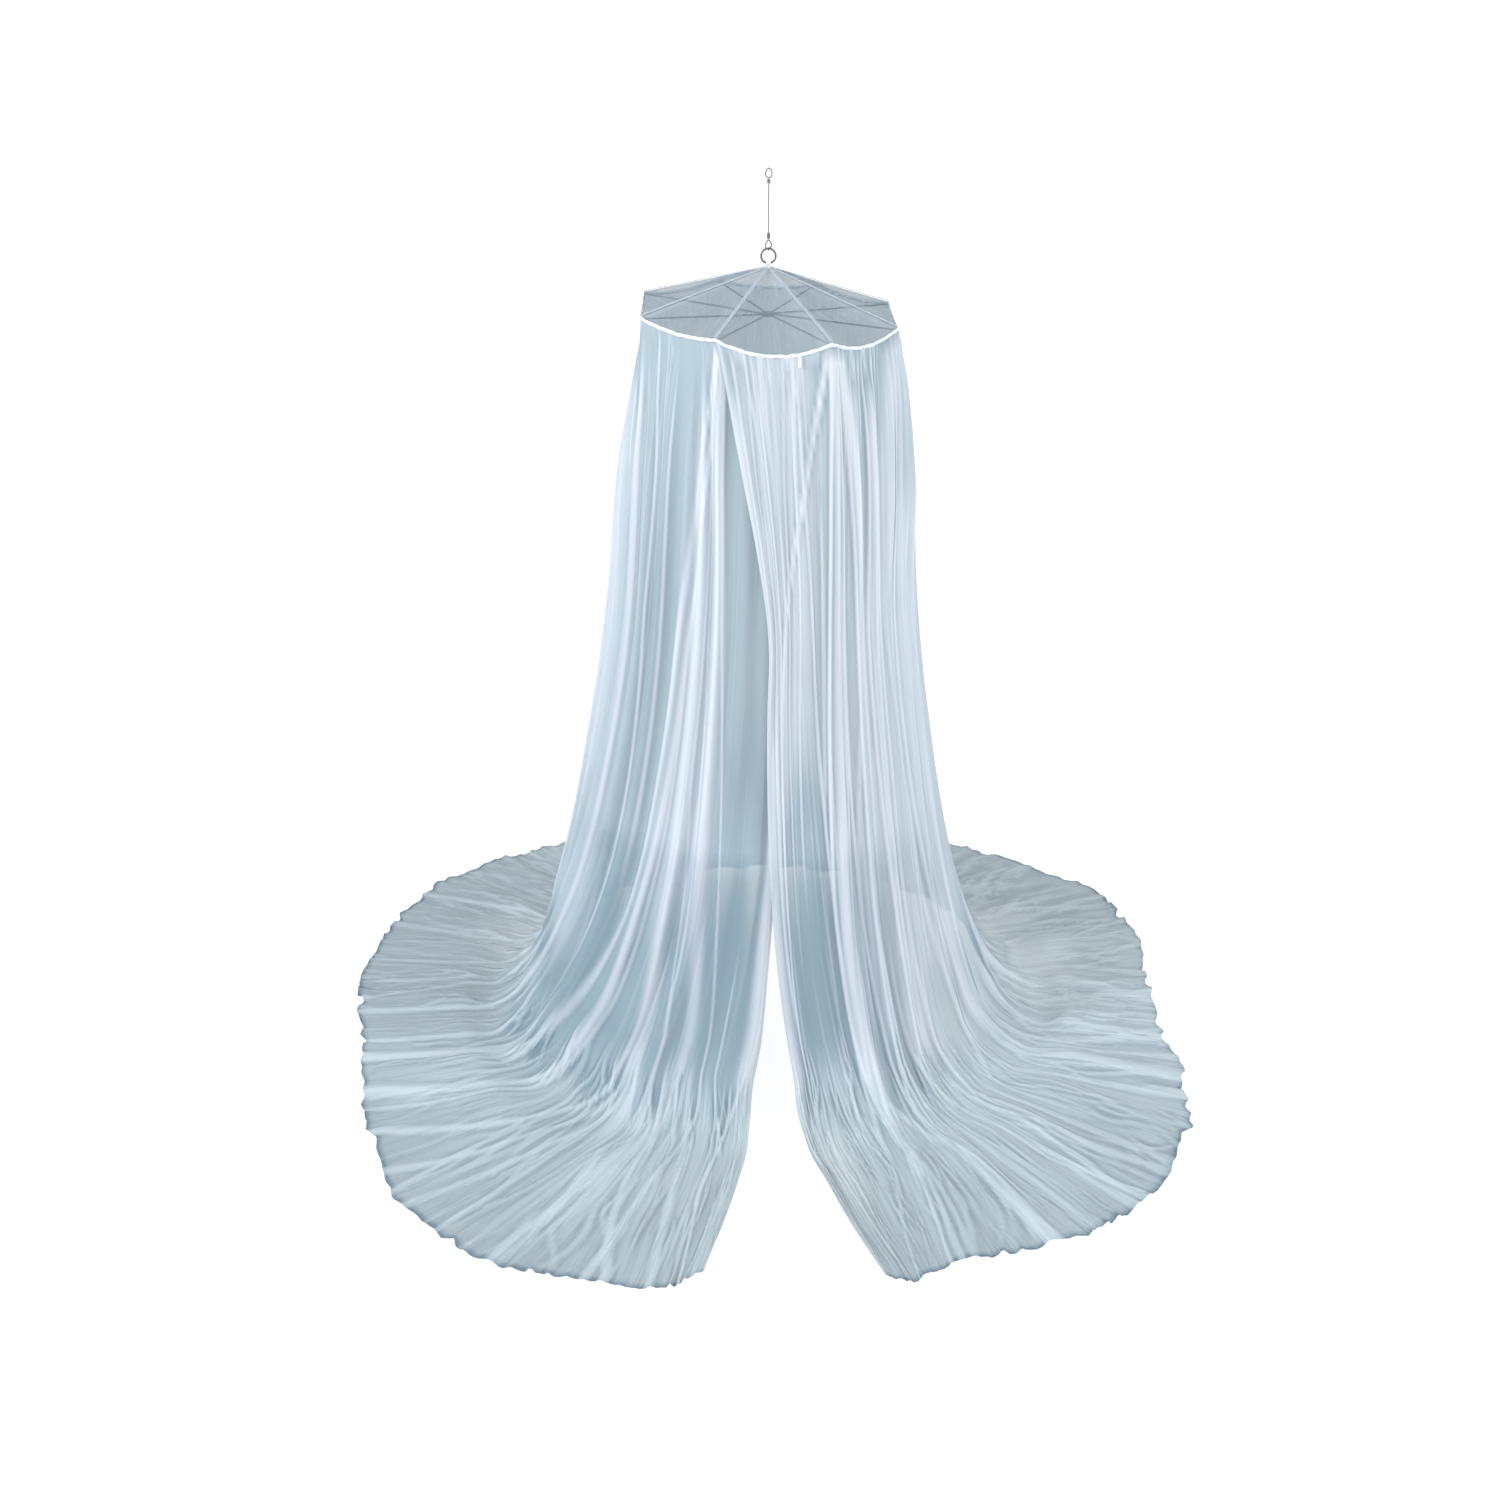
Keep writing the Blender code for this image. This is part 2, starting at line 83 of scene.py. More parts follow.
# The tapes, and the stitches through them.
TAPE_WIDTH = 0.010
RIM_BINDING_WIDTH = 0.0082
RIDGE_WIDTH = 0.008
TAPE_THICKNESS = 0.0012
TAB_AZIMUTH = 13.0
TAB_LENGTH = 0.028
TAB_THICKNESS = 0.0010
EYE_WIDTH = 0.0105
EYE_THICKNESS = 0.0007
STITCH_SPACING = 0.0046
STITCH_LENGTH = 0.0034
STITCH_THREAD = 0.00055
STITCH_ROWS = (-0.0026, 0.0026)

# The skirt's cloth laid flat, and how finely its grid is divided.
WALL_RUN = 1.80
HEM_BAND = 0.06
FRONT_COLUMNS = 45
SIDE_COLUMNS = 28
BACK_COLUMNS = 14

# The fitted camera: its focal length in pixels of the photograph, its place and how far it looks down.
PHOTO_WIDTH = 1500
CAMERA_FOCUS = 2096
CAMERA_PLACE = (-0.0435, -4.965, 3.094 - HOOK_HEIGHT)
CAMERA_DIP = 25.46

# The room: a square floor and a round wall, with its lamps.
FLOOR_HALF_WIDTH = 14
ROOM_RADIUS = 12
ROOM_SIDES = 48
ROOM_HEIGHTS = (-2.3, 9.0)
# A lamp's place, its power in watts and its size.
LAMPS = {
    "key": ((-3.8, -2.4, 1.4), 160, 1.2),
    "fill": ((3.6, -2.2, 0.8), 70, 2.5),
}
LAMP_AIM = (0, 0, -1.2)

# A corner of the rim: its azimuth, its distance from the axis, and how far the edge after it sags.
Corner = namedtuple("Corner", "azimuth radius sag")
CORNERS = (
    Corner(-22.0, 0.325, 0.033),
    Corner(26.0, 0.325, 0.024),
    Corner(68.0, 0.325, 0.006),
    Corner(114.0, 0.322, 0.012),
    Corner(158.0, 0.325, 0.015),
    Corner(202.5, 0.325, 0.012),
    Corner(247.5, 0.325, 0.008),
    Corner(293.0, 0.325, 0.012),
)

# A section of the skirt on its way down: its height and radius, how round it is, how strongly it is folded,
# and its lean to +X.
Section = namedtuple("Section", "height radius roundness swell lean")
WALL = (
    Section(1.8500, 0.3255, 0.03, 0.06, 0.000),
    Section(1.7400, 0.3350, 0.40, 0.40, 0.000),
    Section(1.5800, 0.3460, 0.80, 0.75, -0.002),
    Section(1.4000, 0.3580, 1.00, 0.95, -0.004),
    Section(1.2000, 0.3750, 1.00, 1.00, -0.008),
    Section(1.0000, 0.4000, 1.00, 1.05, -0.012),
    Section(0.8000, 0.4330, 1.00, 1.10, -0.015),
    Section(0.6200, 0.4660, 1.00, 1.15, -0.017),
    Section(0.4600, 0.5030, 1.00, 1.20, -0.018),
    Section(0.3200, 0.5450, 1.00, 1.25, -0.018),
    Section(0.2000, 0.5900, 1.00, 1.30, -0.017),
    Section(0.1050, 0.6360, 1.00, 1.30, -0.014),
    Section(0.0420, 0.6880, 1.00, 1.25, -0.009),
    Section(0.0080, 0.7450, 1.00, 1.10, -0.004),
)

# A section of the skirt on the floor: its share of the way out to the hem, and how strongly it is folded.
Spread = namedtuple("Spread", "share swell")
FLOOR = (Spread(0.30, 0.85), Spread(0.65, 0.60), Spread(1.00, 0.35))

# A fold's azimuth at the rim, the waist, the foot and the hem, its crest, and the hem's distance there.
FOLD_COLUMNS = ("rim", "waist", "foot", "hem", "crest", "reach")
FOLDS = (
    (-22.0, 1.2, 7.8, 12.0, 0.005, 1.24),
    (-6.0, 6.0, 11.5, 14.0, 0.006, 1.27),
    (10.0, 14.0, 17.5, 16.5, 0.008, 1.26),
    (26.0, 25.0, 26.0, 20.0, 0.022, 1.24),
    (38.0, 36.0, 33.0, 31.5, 0.020, 1.28),
    (48.0, 44.0, 39.0, 37.5, 0.022, 1.30),
    (58.0, 53.0, 46.0, 45.0, 0.020, 1.29),
    (68.0, 64.0, 55.0, 57.0, 0.022, 1.23),
    (80.0, 76.0, 65.0, 68.0, 0.018, 1.15),
    (91.0, 88.0, 78.0, 79.5, 0.024, 1.06),
    (103.0, 101.0, 92.0, 92.0, 0.018, 1.05),
    (114.0, 112.0, 106.0, 105.0, 0.024, 1.10),
    (125.0, 124.0, 120.0, 118.0, 0.017, 1.12),
    (136.0, 135.0, 133.0, 132.0, 0.022, 1.05),
    (147.0, 147.0, 146.0, 146.0, 0.016, 1.01),
    (158.0, 159.0, 159.0, 159.0, 0.024, 0.98),
    (170.0, 170.5, 171.0, 171.0, 0.018, 0.99),
    (181.0, 182.0, 181.0, 182.0, 0.020, 1.00),
    (192.0, 193.0, 191.0, 193.0, 0.016, 0.98),
    (202.5, 205.0, 200.0, 202.0, 0.024, 1.00),
    (214.0, 216.5, 209.0, 211.0, 0.018, 1.05),
    (225.0, 228.0, 219.0, 220.5, 0.022, 1.05),
    (236.0, 240.0, 229.0, 230.0, 0.017, 1.10),
    (247.5, 252.0, 238.5, 239.0, 0.024, 1.13),
    (259.0, 264.0, 248.0, 248.5, 0.018, 1.13),
    (270.0, 276.0, 257.0, 257.5, 0.022, 1.12),
    (282.0, 287.0, 266.0, 266.0, 0.018, 1.12),
    (293.0, 297.0, 275.0, 274.0, 0.022, 1.11),
    (304.0, 306.0, 286.0, 282.5, 0.018, 1.09),
    (315.0, 315.0, 298.0, 292.0, 0.022, 1.12),
    (326.0, 326.5, 310.0, 305.0, 0.022, 1.19),
    (332.0, 335.0, 323.0, 319.0, 0.018, 1.29),
    (338.0, 342.3, 334.0, 331.0, 0.024, 1.33),
    (352.0, 352.0, 343.0, 344.0, 0.008, 1.29),
    (370.0, 361.0, 350.5, 349.5, 0.006, 1.28),
    (386.0, 367.2, 356.3, 353.0, 0.005, 1.21),
)
LAST_FOLD = len(FOLDS) - 1

# A crease of the net: the first of the nine levels that it shows at, its place between the folds at that
# level and at each one below, its half width between folds, and how white the bunched net is there. The
# levels run from the rim (0) over the waist (3) and the foot (6) to the hem (8).
LEVEL_ROWS = np.arange(1, 18, 2)
CREASES = (
    # the right front panel, from its door edge round to the side
    (1, (0.06, 0.30, 0.40, 0.38, 0.30, 0.18), 0.36, 0.72),
    (2, (0.62, 0.80, 0.78), 0.10, 0.60),
    (1, (0.95, 0.95, 1.05, 1.00, 0.85), 0.05, 0.80),
    (0, (2.92, 2.24, 1.08), 0.075, 0.90),
    (0, (0.33, 0.28, 0.15), 0.05, 0.50),
    (0, (0.72, 0.50, 0.40), 0.04, 0.45),
    (0, (1.75, 1.50, 1.36, 1.40), 0.04, 0.50),
    (0, (2.00, 1.88, 1.87, 1.80), 0.05, 0.60),
    (1, (2.10, 2.35, 2.58, 2.72), 0.05, 0.65),
    (0, (2.99, 2.93, 2.90, 2.78, 2.70, 2.71, 2.80, 2.88, 2.78), 0.05, 0.95),
    (0, (3.05, 3.20, 3.22, 3.15, 2.93, 2.86, 2.90), 0.19, 0.80),
    (0, (3.10, 3.50, 3.58, 3.55, 3.60, 3.72, 3.78, 3.83, 3.88), 0.05, 0.75),
    (2, (3.50, 3.47, 3.17, 3.02), 0.06, 0.70),
    (0, (3.25, 3.75, 3.95, 3.94, 3.93, 3.95, 4.00), 0.05, 0.75),
    (0, (3.40, 3.95, 4.45, 4.50), 0.24, 0.75),
    (0, (4.60, 4.78, 4.71, 4.80, 4.93, 5.00), 0.06, 0.70),
    (1, (5.05, 5.25, 5.30, 5.30), 0.26, 0.60),
    (0, (5.20, 5.50, 5.60, 5.67, 5.66, 5.74, 5.90, 6.10), 0.06, 0.70),
    (1, (6.62, 6.60, 6.65, 6.85, 7.10, 7.30), 0.05, 0.65),
    (1, (7.30, 7.35, 7.40, 7.45, 7.60, 7.75, 7.95, 7.90), 0.07, 0.60),
    (1, (8.20, 8.20, 8.15, 8.20, 8.25, 8.30, 8.50, 8.70), 0.06, 0.65),
    (6, (2.68, 2.40, 1.55), 0.06, 0.45),
    (6, (2.80, 2.98, 3.05), 0.05, 0.50),
    (6, (0.95, 0.90, 1.15), 0.05, 0.55),
    (5, (4.10, 4.30, 4.60, 4.70), 0.10, 0.50),
    (5, (4.60, 4.95, 5.40, 5.80), 0.07, 0.60),
    (4, (5.20, 5.30, 5.60, 5.95, 6.35), 0.08, 0.60),
    (5, (6.30, 6.35, 6.45, 6.50), 0.06, 0.55),
    (4, (6.60, 6.90, 7.10, 7.50, 7.60), 0.06, 0.60),
    (6, (8.80, 8.85, 8.75), 0.06, 0.50),
    (5, (9.00, 9.20, 9.60, 9.70), 0.06, 0.55),
    (6, (10.20, 10.40, 10.10), 0.06, 0.50),
    (5, (3.20, 3.05, 3.95, 3.95), 0.12, 0.65),
    (5, (5.57, 5.52, 5.40, 5.60), 0.13, 0.65),
    (5, (7.65, 7.93, 7.98, 7.95), 0.13, 0.65),
    (5, (9.75, 9.85, 9.95, 9.55), 0.12, 0.60),
    # the left front panel, from its door edge round to the side
    (4, (34.55, 34.60, 34.62, 34.66, 34.70), 0.22, 0.55),
    (2, (34.70, 34.75, 34.70, 34.75), 0.22, 0.75),
    (5, (34.90, 34.35, 33.92, 34.35), 0.05, 0.85),
    (5, (33.72, 33.92, 33.85), 0.04, 0.55),
    (0, (33.15, 33.55, 34.20), 0.05, 0.50),
    (0, (33.95, 34.20, 34.60), 0.04, 0.45),
    (0, (32.24, 32.14, 32.14, 32.47, 32.88, 33.34, 33.40, 32.90, 32.80), 0.045, 0.62),
    (6, (33.05, 33.35, 33.72), 0.10, 0.60),
    (0, (32.10, 31.88, 31.85, 31.95, 32.25, 32.75, 32.60, 32.20), 0.20, 0.64),
    (0, (32.10, 31.40, 31.24, 31.20, 31.60, 32.10, 32.08, 32.12, 32.05), 0.05, 0.64),
    (1, (31.50, 31.38, 31.58, 31.95), 0.05, 0.60),
    (1, (30.95, 30.75, 30.72, 31.00, 31.40, 31.55), 0.20, 0.65),
    (0, (32.00, 30.60, 29.97, 29.78, 29.80, 29.40, 29.10, 28.70, 28.60), 0.13, 0.70),
    (0, (32.05, 31.20, 30.35, 30.22, 30.10, 30.22, 30.05, 29.55, 29.33), 0.10, 0.90),
    (3, (30.36, 30.34, 30.39, 30.16, 29.80, 29.62), 0.05, 0.60),
    (4, (31.05, 31.30, 31.16, 30.46, 30.02), 0.06, 0.75),
    (5, (31.45, 31.36, 30.90, 30.50), 0.05, 0.60),
    (6, (31.50, 31.22, 30.98), 0.05, 0.55),
    (7, (31.35, 31.42), 0.04, 0.50),
    (6, (32.35, 32.52, 32.96), 0.05, 0.60),
    (7, (30.55, 30.78), 0.04, 0.50),
    (1, (29.15, 29.20, 29.25), 0.05, 0.55),
    (0, (28.00, 28.35, 28.20, 28.42, 28.55), 0.05, 0.65),
    (1, (27.20, 27.22, 27.22, 27.25, 27.24, 27.22, 27.28, 27.32), 0.07, 0.75),
    (6, (28.05, 28.22, 28.22), 0.06, 0.60),
    (6, (28.75, 28.62, 28.62), 0.14, 0.60),
    (1, (26.40, 26.45, 26.40, 26.30, 26.25, 26.10, 26.35, 27.00), 0.06, 0.60),
    (4, (25.40, 25.50, 25.70, 26.20, 26.35), 0.05, 0.60),
    (1, (24.95, 25.00, 25.00, 25.05, 25.00, 25.10, 25.45, 25.60), 0.06, 0.60),
    (3, (24.20, 24.15, 24.00, 24.05, 24.40, 24.40), 0.06, 0.55),
    (1, (23.00, 22.95, 22.90, 22.80, 22.80, 22.85, 23.20, 23.40), 0.07, 0.60),
)

# A broad part of the net: its middle and half width between folds, its first and last row of the skirt (0 at
# the rim, 14 at the floor, 17 at the hem) and its strength. Bunched net is paler. Single net is deeper, with
# fewer small folds. Clear net, where it is drawn tight, lets more through, and below 0 it lets less through.
# Shaded net is painted shade, deeper and less white, calm net has lower and fainter folds, and fuller net
# hangs further out.
BUNCHED = (
    (1.4, 1.8, -1.5, 7.6, 0.58),
    (4.4, 0.6, 2.6, 6.8, 0.35),
    (26.2, 2.4, 1.2, 11.5, 0.24),
    (25.6, 1.1, 2.2, 8.8, 0.35),
    (31.1, 1.4, 2.0, 10.0, 0.50),
    (32.0, 0.7, 1.5, 10.5, 0.18),
    (3.7, 0.9, 0.5, 12.0, 0.45),
    (5.2, 0.9, 1.5, 12.5, 0.60),
    (7.6, 1.6, -1.0, 4.2, 0.36),
    (10.7, 0.8, -1.0, 5.0, 0.35),
    (7.4, 2.4, 2.8, 11.4, 0.64),
    (12.5, 1.5, 3.0, 11.0, 0.30),
    (20.0, 1.5, 3.0, 11.0, 0.22),
    # Painted light: the back wall's lower part, in shade on its inner side, is painted pale as if lit.
    (17.5, 6.5, 8.4, 15.2, 0.95),
    (17.5, 6.5, 13.0, 20.0, 0.45),
    (0.8, 1.1, 11.2, 15.8, 0.45),
    (6.2, 0.8, 0.6, 4.8, 0.50),
    (4.6, 1.3, 12.0, 15.6, 0.32),
    (9.0, 1.8, 3.4, 5.8, 0.25),
    (27.8, 0.9, 7.5, 11.0, 0.32),
    (5.2, 6.0, 11.4, 16.2, 0.44),
    (9.6, 3.0, 12.6, 19.5, 0.46),
    (24.6, 1.8, 11.8, 16.0, 0.20),
    (33.2, 2.6, 11.8, 16.2, 0.42),
    (29.6, 1.2, 13.5, 17.0, 0.25),
)
SINGLE = (
    (1.75, 0.80, 4.8, 8.3, 0.60),
    (1.75, 0.80, 8.4, 12.6, 0.55),
    (33.6, 1.5, 2.2, 7.2, 0.16),
    (33.6, 1.5, 5.2, 8.1, 0.60),
    (33.6, 1.5, 8.4, 12.5, 0.55),
    (4.32, 0.26, 6.0, 12.0, 0.60),
    (28.8, 0.9, 3.0, 8.5, 0.35),
    (12.4, 2.2, 14.6, 18.5, 0.24),
    (22.6, 2.2, 14.2, 18.5, 0.85),
    (26.0, 3.0, 13.2, 18.5, 0.75),
    (31.0, 3.0, 15.4, 19.5, 0.60),
    (4.2, 3.4, 16.0, 19.5, 0.45),
)
CLEAR = (
    (1.6, 2.6, -1.0, 7.5, 0.45),
    (34.0, 1.6, -1.0, 7.5, 0.30),
    (2.2, 4.0, 7.4, 14.4, -0.75),
    (31.4, 6.0, 7.4, 14.2, -0.85),
    (11.0, 2.4, 12.2, 15.8, 0.40),
    (24.4, 1.8, 12.2, 15.6, 0.40),
    (0.9, 1.0, 12.2, 16.0, 0.50),
)
# Painted shade: the canopy's shaded inside, seen through the front panels, is painted into the front net as
# deeper colour.
SHADED = (
    (30.4, 5.2, 7.65, 12.8, 0.58),
    (1.6, 3.4, 7.65, 12.0, 0.48),
    (4.0, 5.5, 7.65, 11.6, 0.40),
    (6.8, 1.3, 8.4, 11.6, 0.55),
    (32.8, 3.0, 7.65, 10.4, 0.62),
    (28.7, 1.2, 8.4, 12.0, 0.45),
    (35.2, 1.1, 7.8, 13.2, 0.78),
    (29.4, 3.6, 10.8, 14.6, 0.30),
    (33.7, 1.8, 7.75, 11.8, 0.50),
    (1.9, 1.2, 7.80, 11.8, 0.35),
)
CALM = (
    (26.6, 3.2, -1.5, 13.5, 0.66),
    (30.6, 2.6, -1.5, 13.0, 0.66),
    (33.6, 1.8, -1.5, 12.5, 0.60),
    (10.0, 2.6, -1.5, 10.0, 0.48),
    (30.0, 6.5, 13.0, 19.0, 0.30),
    (4.0, 4.5, 13.0, 19.0, 0.20),
)
FULLER = (
    (7.2, 1.8, 0.2, 5.0, 1.0),
    (26.2, 2.4, 2.2, 11.5, 0.8),
)

# Small folds strewn over the net: how many, the rows that they start at and run for, how far they drift
# across, their widths between folds, their height and how white they are.
STREWN = (
    (110, -1.2, 0.2, 2.0, 4.2, 0.15, 0.030, 0.070, 0.0022, 0.50),
    (110, -0.9, 0.0, 0.9, 2.2, 0.10, 0.040, 0.110, 0.0030, 0.55),
    (220, 0.0, 11.0, 3.0, 8.0, 0.45, 0.025, 0.060, 0.0021, 0.40),
    (360, 10.8, 15.2, 1.4, 3.6, 0.36, 0.022, 0.046, 0.0050, 0.52),
    (340, 13.3, 16.6, 0.8, 1.8, 0.26, 0.020, 0.038, 0.0046, 0.44),
)

# The eye's folded tape from its stitches up to its top, as how far out it is and how high.
EYE_FOLD = (
    (0.0005, 0.0002),
    (0.0006, 0.0014),
    (0.0011, 0.0030),
    (0.0022, 0.0048),
    (0.0030, 0.0068),
    (0.0031, 0.0088),
    (0.0024, 0.0104),
    (0.0012, 0.0113),
)
EYE_TOP = 0.0115

# The outline of a tape's section: how far across it each point is, and how high above its underside.
BAND_SECTION = np.array(
    (
        (-0.5, 0.1),
        (-0.47, 0.6),
        (-0.3, 1.0),
        (0.0, 0.9),
        (0.3, 1.0),
        (0.47, 0.6),
        (0.5, 0.1),
        (0.4, -0.1),
        (-0.4, -0.1),
    )
)
UP = np.array((0.0, 0.0, 1.0))


def mix(a, b, share):
    return a + (b - a) * share


def ease(share):
    share = np.clip(share, 0.0, 1.0)
    return share * share * (3 - 2 * share)


def bell(distance, half, power=2):
    """1 in the middle, falling off softly on both sides."""
    return np.exp(-(np.abs(distance / half) ** power))


def full_turn(steps):
    """Even angles all round, in radians."""
    return np.arange(steps) * 2 * np.pi / steps


def degrees_apart(azimuth, other):
    return np.abs((azimuth - other + 180) % 360 - 180)


def backwards(azimuth):
    """How far round to the back an azimuth is, from 0 at the front to 1."""
    return (0.5 - 0.5 * np.cos(np.radians(azimuth))) ** 2


def at(azimuth, radius, height):
    """Points at these azimuths in degrees, distances from the axis and heights above the floor."""
    angle = np.radians(azimuth)
    height = height - HOOK_HEIGHT + 0 * angle
    return np.stack([radius * np.sin(angle), -radius * np.cos(angle), height], axis=-1)


CORNER_AZIMUTHS = np.array([corner.azimuth for corner in CORNERS] + [CORNERS[0].azimuth + 360])
CORNER_RADII = np.array([corner.radius for corner in CORNERS] + [CORNERS[0].radius])
CORNER_SAGS = np.array([corner.sag for corner in CORNERS])


def rim_at(azimuth):
    """(radius, height) of the sagging octagon where the roof and the skirt meet."""
    azimuth = (np.asarray(azimuth, float) - CORNERS[0].azimuth) % 360 + CORNERS[0].azimuth
    here = np.searchsorted(CORNER_AZIMUTHS, azimuth + 1e-6, side="right") - 1
    here = np.clip(here, 0, len(CORNERS) - 1)
    span = np.radians(CORNER_AZIMUTHS[here + 1] - CORNER_AZIMUTHS[here])
    turn = np.radians(azimuth - CORNER_AZIMUTHS[here])
    before = CORNER_RADII[here] * np.sin(turn)
    after = CORNER_RADII[here + 1] * np.sin(span - turn)
    radius = CORNER_RADII[here] * CORNER_RADII[here + 1] * np.sin(span) / (before + after)
    share = before / (before + after)
    drop = CORNER_SAGS[here] * 4 * share * (1 - share)
    fall = RIM_FALL * radius * np.sin(np.radians(azimuth))
    return radius, RIM_HEIGHT - fall - drop


class Skirt:
    """The skirt's surface on the canopy's folds, and the creases between them."""

    def __init__(self, across):
        self.across = across
        left = np.minimum(across.astype(int), LAST_FOLD - 1)
        self.left = dict(zip(FOLD_COLUMNS, np.array(FOLDS)[left].T))
        self.right = dict(zip(FOLD_COLUMNS, np.array(FOLDS)[left + 1].T))
        self.share = across - left
        self.crest = self.between("crest")
        self.wave = self.crest * (0.5 + 0.5 * np.cos(2 * np.pi * self.share))

    def between(self, name):
        return mix(self.left[name], self.right[name], self.share)

    def inset(self, gap):
        """How far in the lapped panel lies, coming in over the folds before the door."""
        reached = (self.across - INNER_LAYER_FROM) / (INNER_LAYER_FULL - INNER_LAYER_FROM)
        return gap * ease(reached)

    def azimuth(self, height):
        if height >= WAIST_HEIGHT:
            down = (RIM_HEIGHT - height) / (RIM_HEIGHT - WAIST_HEIGHT)
            bowed = down * (1 + RIM_BOW * (1 - down**2))
            return mix(self.between("rim"), self.between("waist"), bowed)
        down = (WAIST_HEIGHT - height) / (WAIST_HEIGHT - FOOT_HEIGHT)
        return mix(self.between("waist"), self.between("foot"), min(down, 1.0) ** FOOT_EASE)

    def rim_row(self):
        azimuth = self.between("rim")
        radius, height = rim_at(azimuth)
        inset = SEAM_INSET + self.inset(LAYER_GAP_RIM)
        return at(azimuth, radius - inset, height - SKIRT_DROP)

    def wall_row(self, section):
        azimuth = self.azimuth(section.height)
        rim_radius, rim_height = rim_at(azimuth)
        square = rim_radius * section.radius / CORNERS[0].radius
        radius = mix(square, section.radius, section.roundness)
        down = 1 - section.height / RIM_HEIGHT
        radius = radius - BACK_PULL * backwards(azimuth) * down**2
        radius = radius + section.swell * (self.wave - self.crest / 2)
        radius = radius - self.inset(mix(LAYER_GAP_RIM, LAYER_GAP_WALL, section.roundness))
        height = section.height + (rim_height - RIM_HEIGHT) * (1 - section.roundness)
        points = at(azimuth, radius, height)
        points[:, 0] += section.lean
        return points

    def floor_row(self, spread):
        azimuth = mix(self.between("foot"), self.between("hem"), spread.share)
        reach = mix(self.left["reach"], self.right["reach"], ease(self.share))
        radius = mix(FLOOR_START - BACK_PULL * backwards(azimuth), reach, spread.share)
        return at(azimuth, radius, SHEET_LIFT + spread.swell * self.wave)

    def rows(self):
        rows = [self.rim_row()]
        rows += [self.wall_row(section) for section in WALL]
        rows += [self.floor_row(spread) for spread in FLOOR]
        return np.array(rows)


def down_places(length):
    """Distances down the cloth of the grid's rows, closer together on the floor and at the hem."""
    wall = np.linspace(0, WALL_RUN, 45)
    floor = np.linspace(WALL_RUN, length - HEM_BAND, 36)[1:]
    hem = np.linspace(length - HEM_BAND, length, 9)[1:]
    return np.concatenate([wall, floor, hem])


def smooth_rows(rows):
    """The skirt's grid on smooth curves through the given rows: (points, distances down the cloth, rows)."""
    steps = np.linalg.norm(np.diff(rows, axis=0), axis=2).mean(axis=1)
    down = np.concatenate([[0.0], np.cumsum(steps)])
    places = down_places(down[-1])
    slopes = np.diff(rows, axis=0) / steps[:, None, None]
    inner = mix(slopes[:-1], slopes[1:], (steps[:-1] / (steps[:-1] + steps[1:]))[:, None, None])
    slopes = np.concatenate([slopes[:1], inner, slopes[-1:]])
    smooth = []
    levels = []
    for place in places:
        i = min(int(np.searchsorted(down, place, side="right")) - 1, len(steps) - 1)
        x = (place - down[i]) / steps[i]
        first = (2 * x**3 - 3 * x**2 + 1) * rows[i] + (x**3 - 2 * x**2 + x) * steps[i] * slopes[i]
        last = (3 * x**2 - 2 * x**3) * rows[i + 1] + (x**3 - x**2) * steps[i] * slopes[i + 1]
        smooth.append(first + last)
        levels.append(i + x)
    return np.array(smooth), places, np.array(levels)


def grid_normals(points):
    """Unit normals of a grid of points, outwards on the wall and upwards on the floor."""
    down = np.gradient(points, axis=0)
    along = np.gradient(points, axis=1)
    normal = np.cross(down, along)
    return normal / np.maximum(np.linalg.norm(normal, axis=2, keepdims=True), 1e-9)


def soften(values, reach):
    """Values averaged with those beside them, which rounds a path's corners."""
    padded = np.pad(values, reach, mode="edge")
    kernel = np.hanning(2 * reach + 3)[1:-1]
    return np.convolve(padded, kernel / kernel.sum(), mode="valid")


def even_out(grid, reach_across, reach_down):
    """A grid of numbers averaged with those round each."""
    for axis, reach in ((1, reach_across), (0, reach_down)):
        grid = np.apply_along_axis(soften, axis, grid, reach)
    return grid


def crease_marks(across, levels):
    """(relief in metres, whiteness) of all the creases on the grid of these places and rows."""
    relief = np.zeros((len(levels), len(across)))
    white = np.zeros_like(relief)
    for first, path, wide, paleness in CREASES:
        there = np.zeros(len(LEVEL_ROWS))
        there[first : first + len(path)] = 1
        centre = soften(np.interp(levels, LEVEL_ROWS[there > 0], path), 3)
        shown = soften(np.interp(levels, LEVEL_ROWS, there), 2)
        shown = ease(shown * 1.4) * ease(levels / 1.2)
        profile = bell(across[None, :] - centre[:, None], wide, 2.4) * shown[:, None]
        relief += profile * (0.0022 + 0.012 * wide)
        white = mix(white, 1, profile * paleness)
    return relief, white


def small_folds(across, levels):
    """(relief, whiteness) of the many small gathers that hang between the main creases."""
    rng = np.random.default_rng(7)
    relief = np.zeros((len(levels), len(across)))
    white = np.zeros_like(relief)
    for count, top, low, short, long, drift, narrow, wide, height, paleness in STREWN:
        for number in range(count):
            start = rng.uniform(0, LAST_FOLD)
            first = rng.uniform(top, low)
            run = (levels - first) / rng.uniform(short, long)
            bend = rng.uniform(-1, 1) * drift
            centre = start + bend * run + 0.05 * rng.uniform(0.5, 2) * np.sin(run * 5 + number)
            half = rng.uniform(narrow, wide)
            strength = rng.uniform(0.3, 1.0)
            shown = ease(4 * run) * ease(3 * (1 - run)) * (run > 0) * (run < 1)
            profile = bell(across[None, :] - centre[:, None], half) * (shown * strength)[:, None]
            relief += profile * height
            white = mix(white, 1, profile * paleness)
    return relief, white


def broad_marks(hazes, across, levels, ramp=1.5, uneven=0.7):
    """How strongly these broad parts of the net show on the grid. They come in over about ramp rows."""
    marks = np.zeros((len(levels), len(across)))
    here = levels[:, None] + uneven * uneven_wave(across, 9, 0.2, 1.1, 8)[None, :]
    for middle, half, top, bottom, strength in hazes:
        side = ease(1.6 * (1 - np.abs(across - middle) / half))
        reach = ease((here - top) / ramp) * ease((bottom - here) / 1.5)
        marks = mix(marks, 1, strength * reach * side[None, :])
    return marks


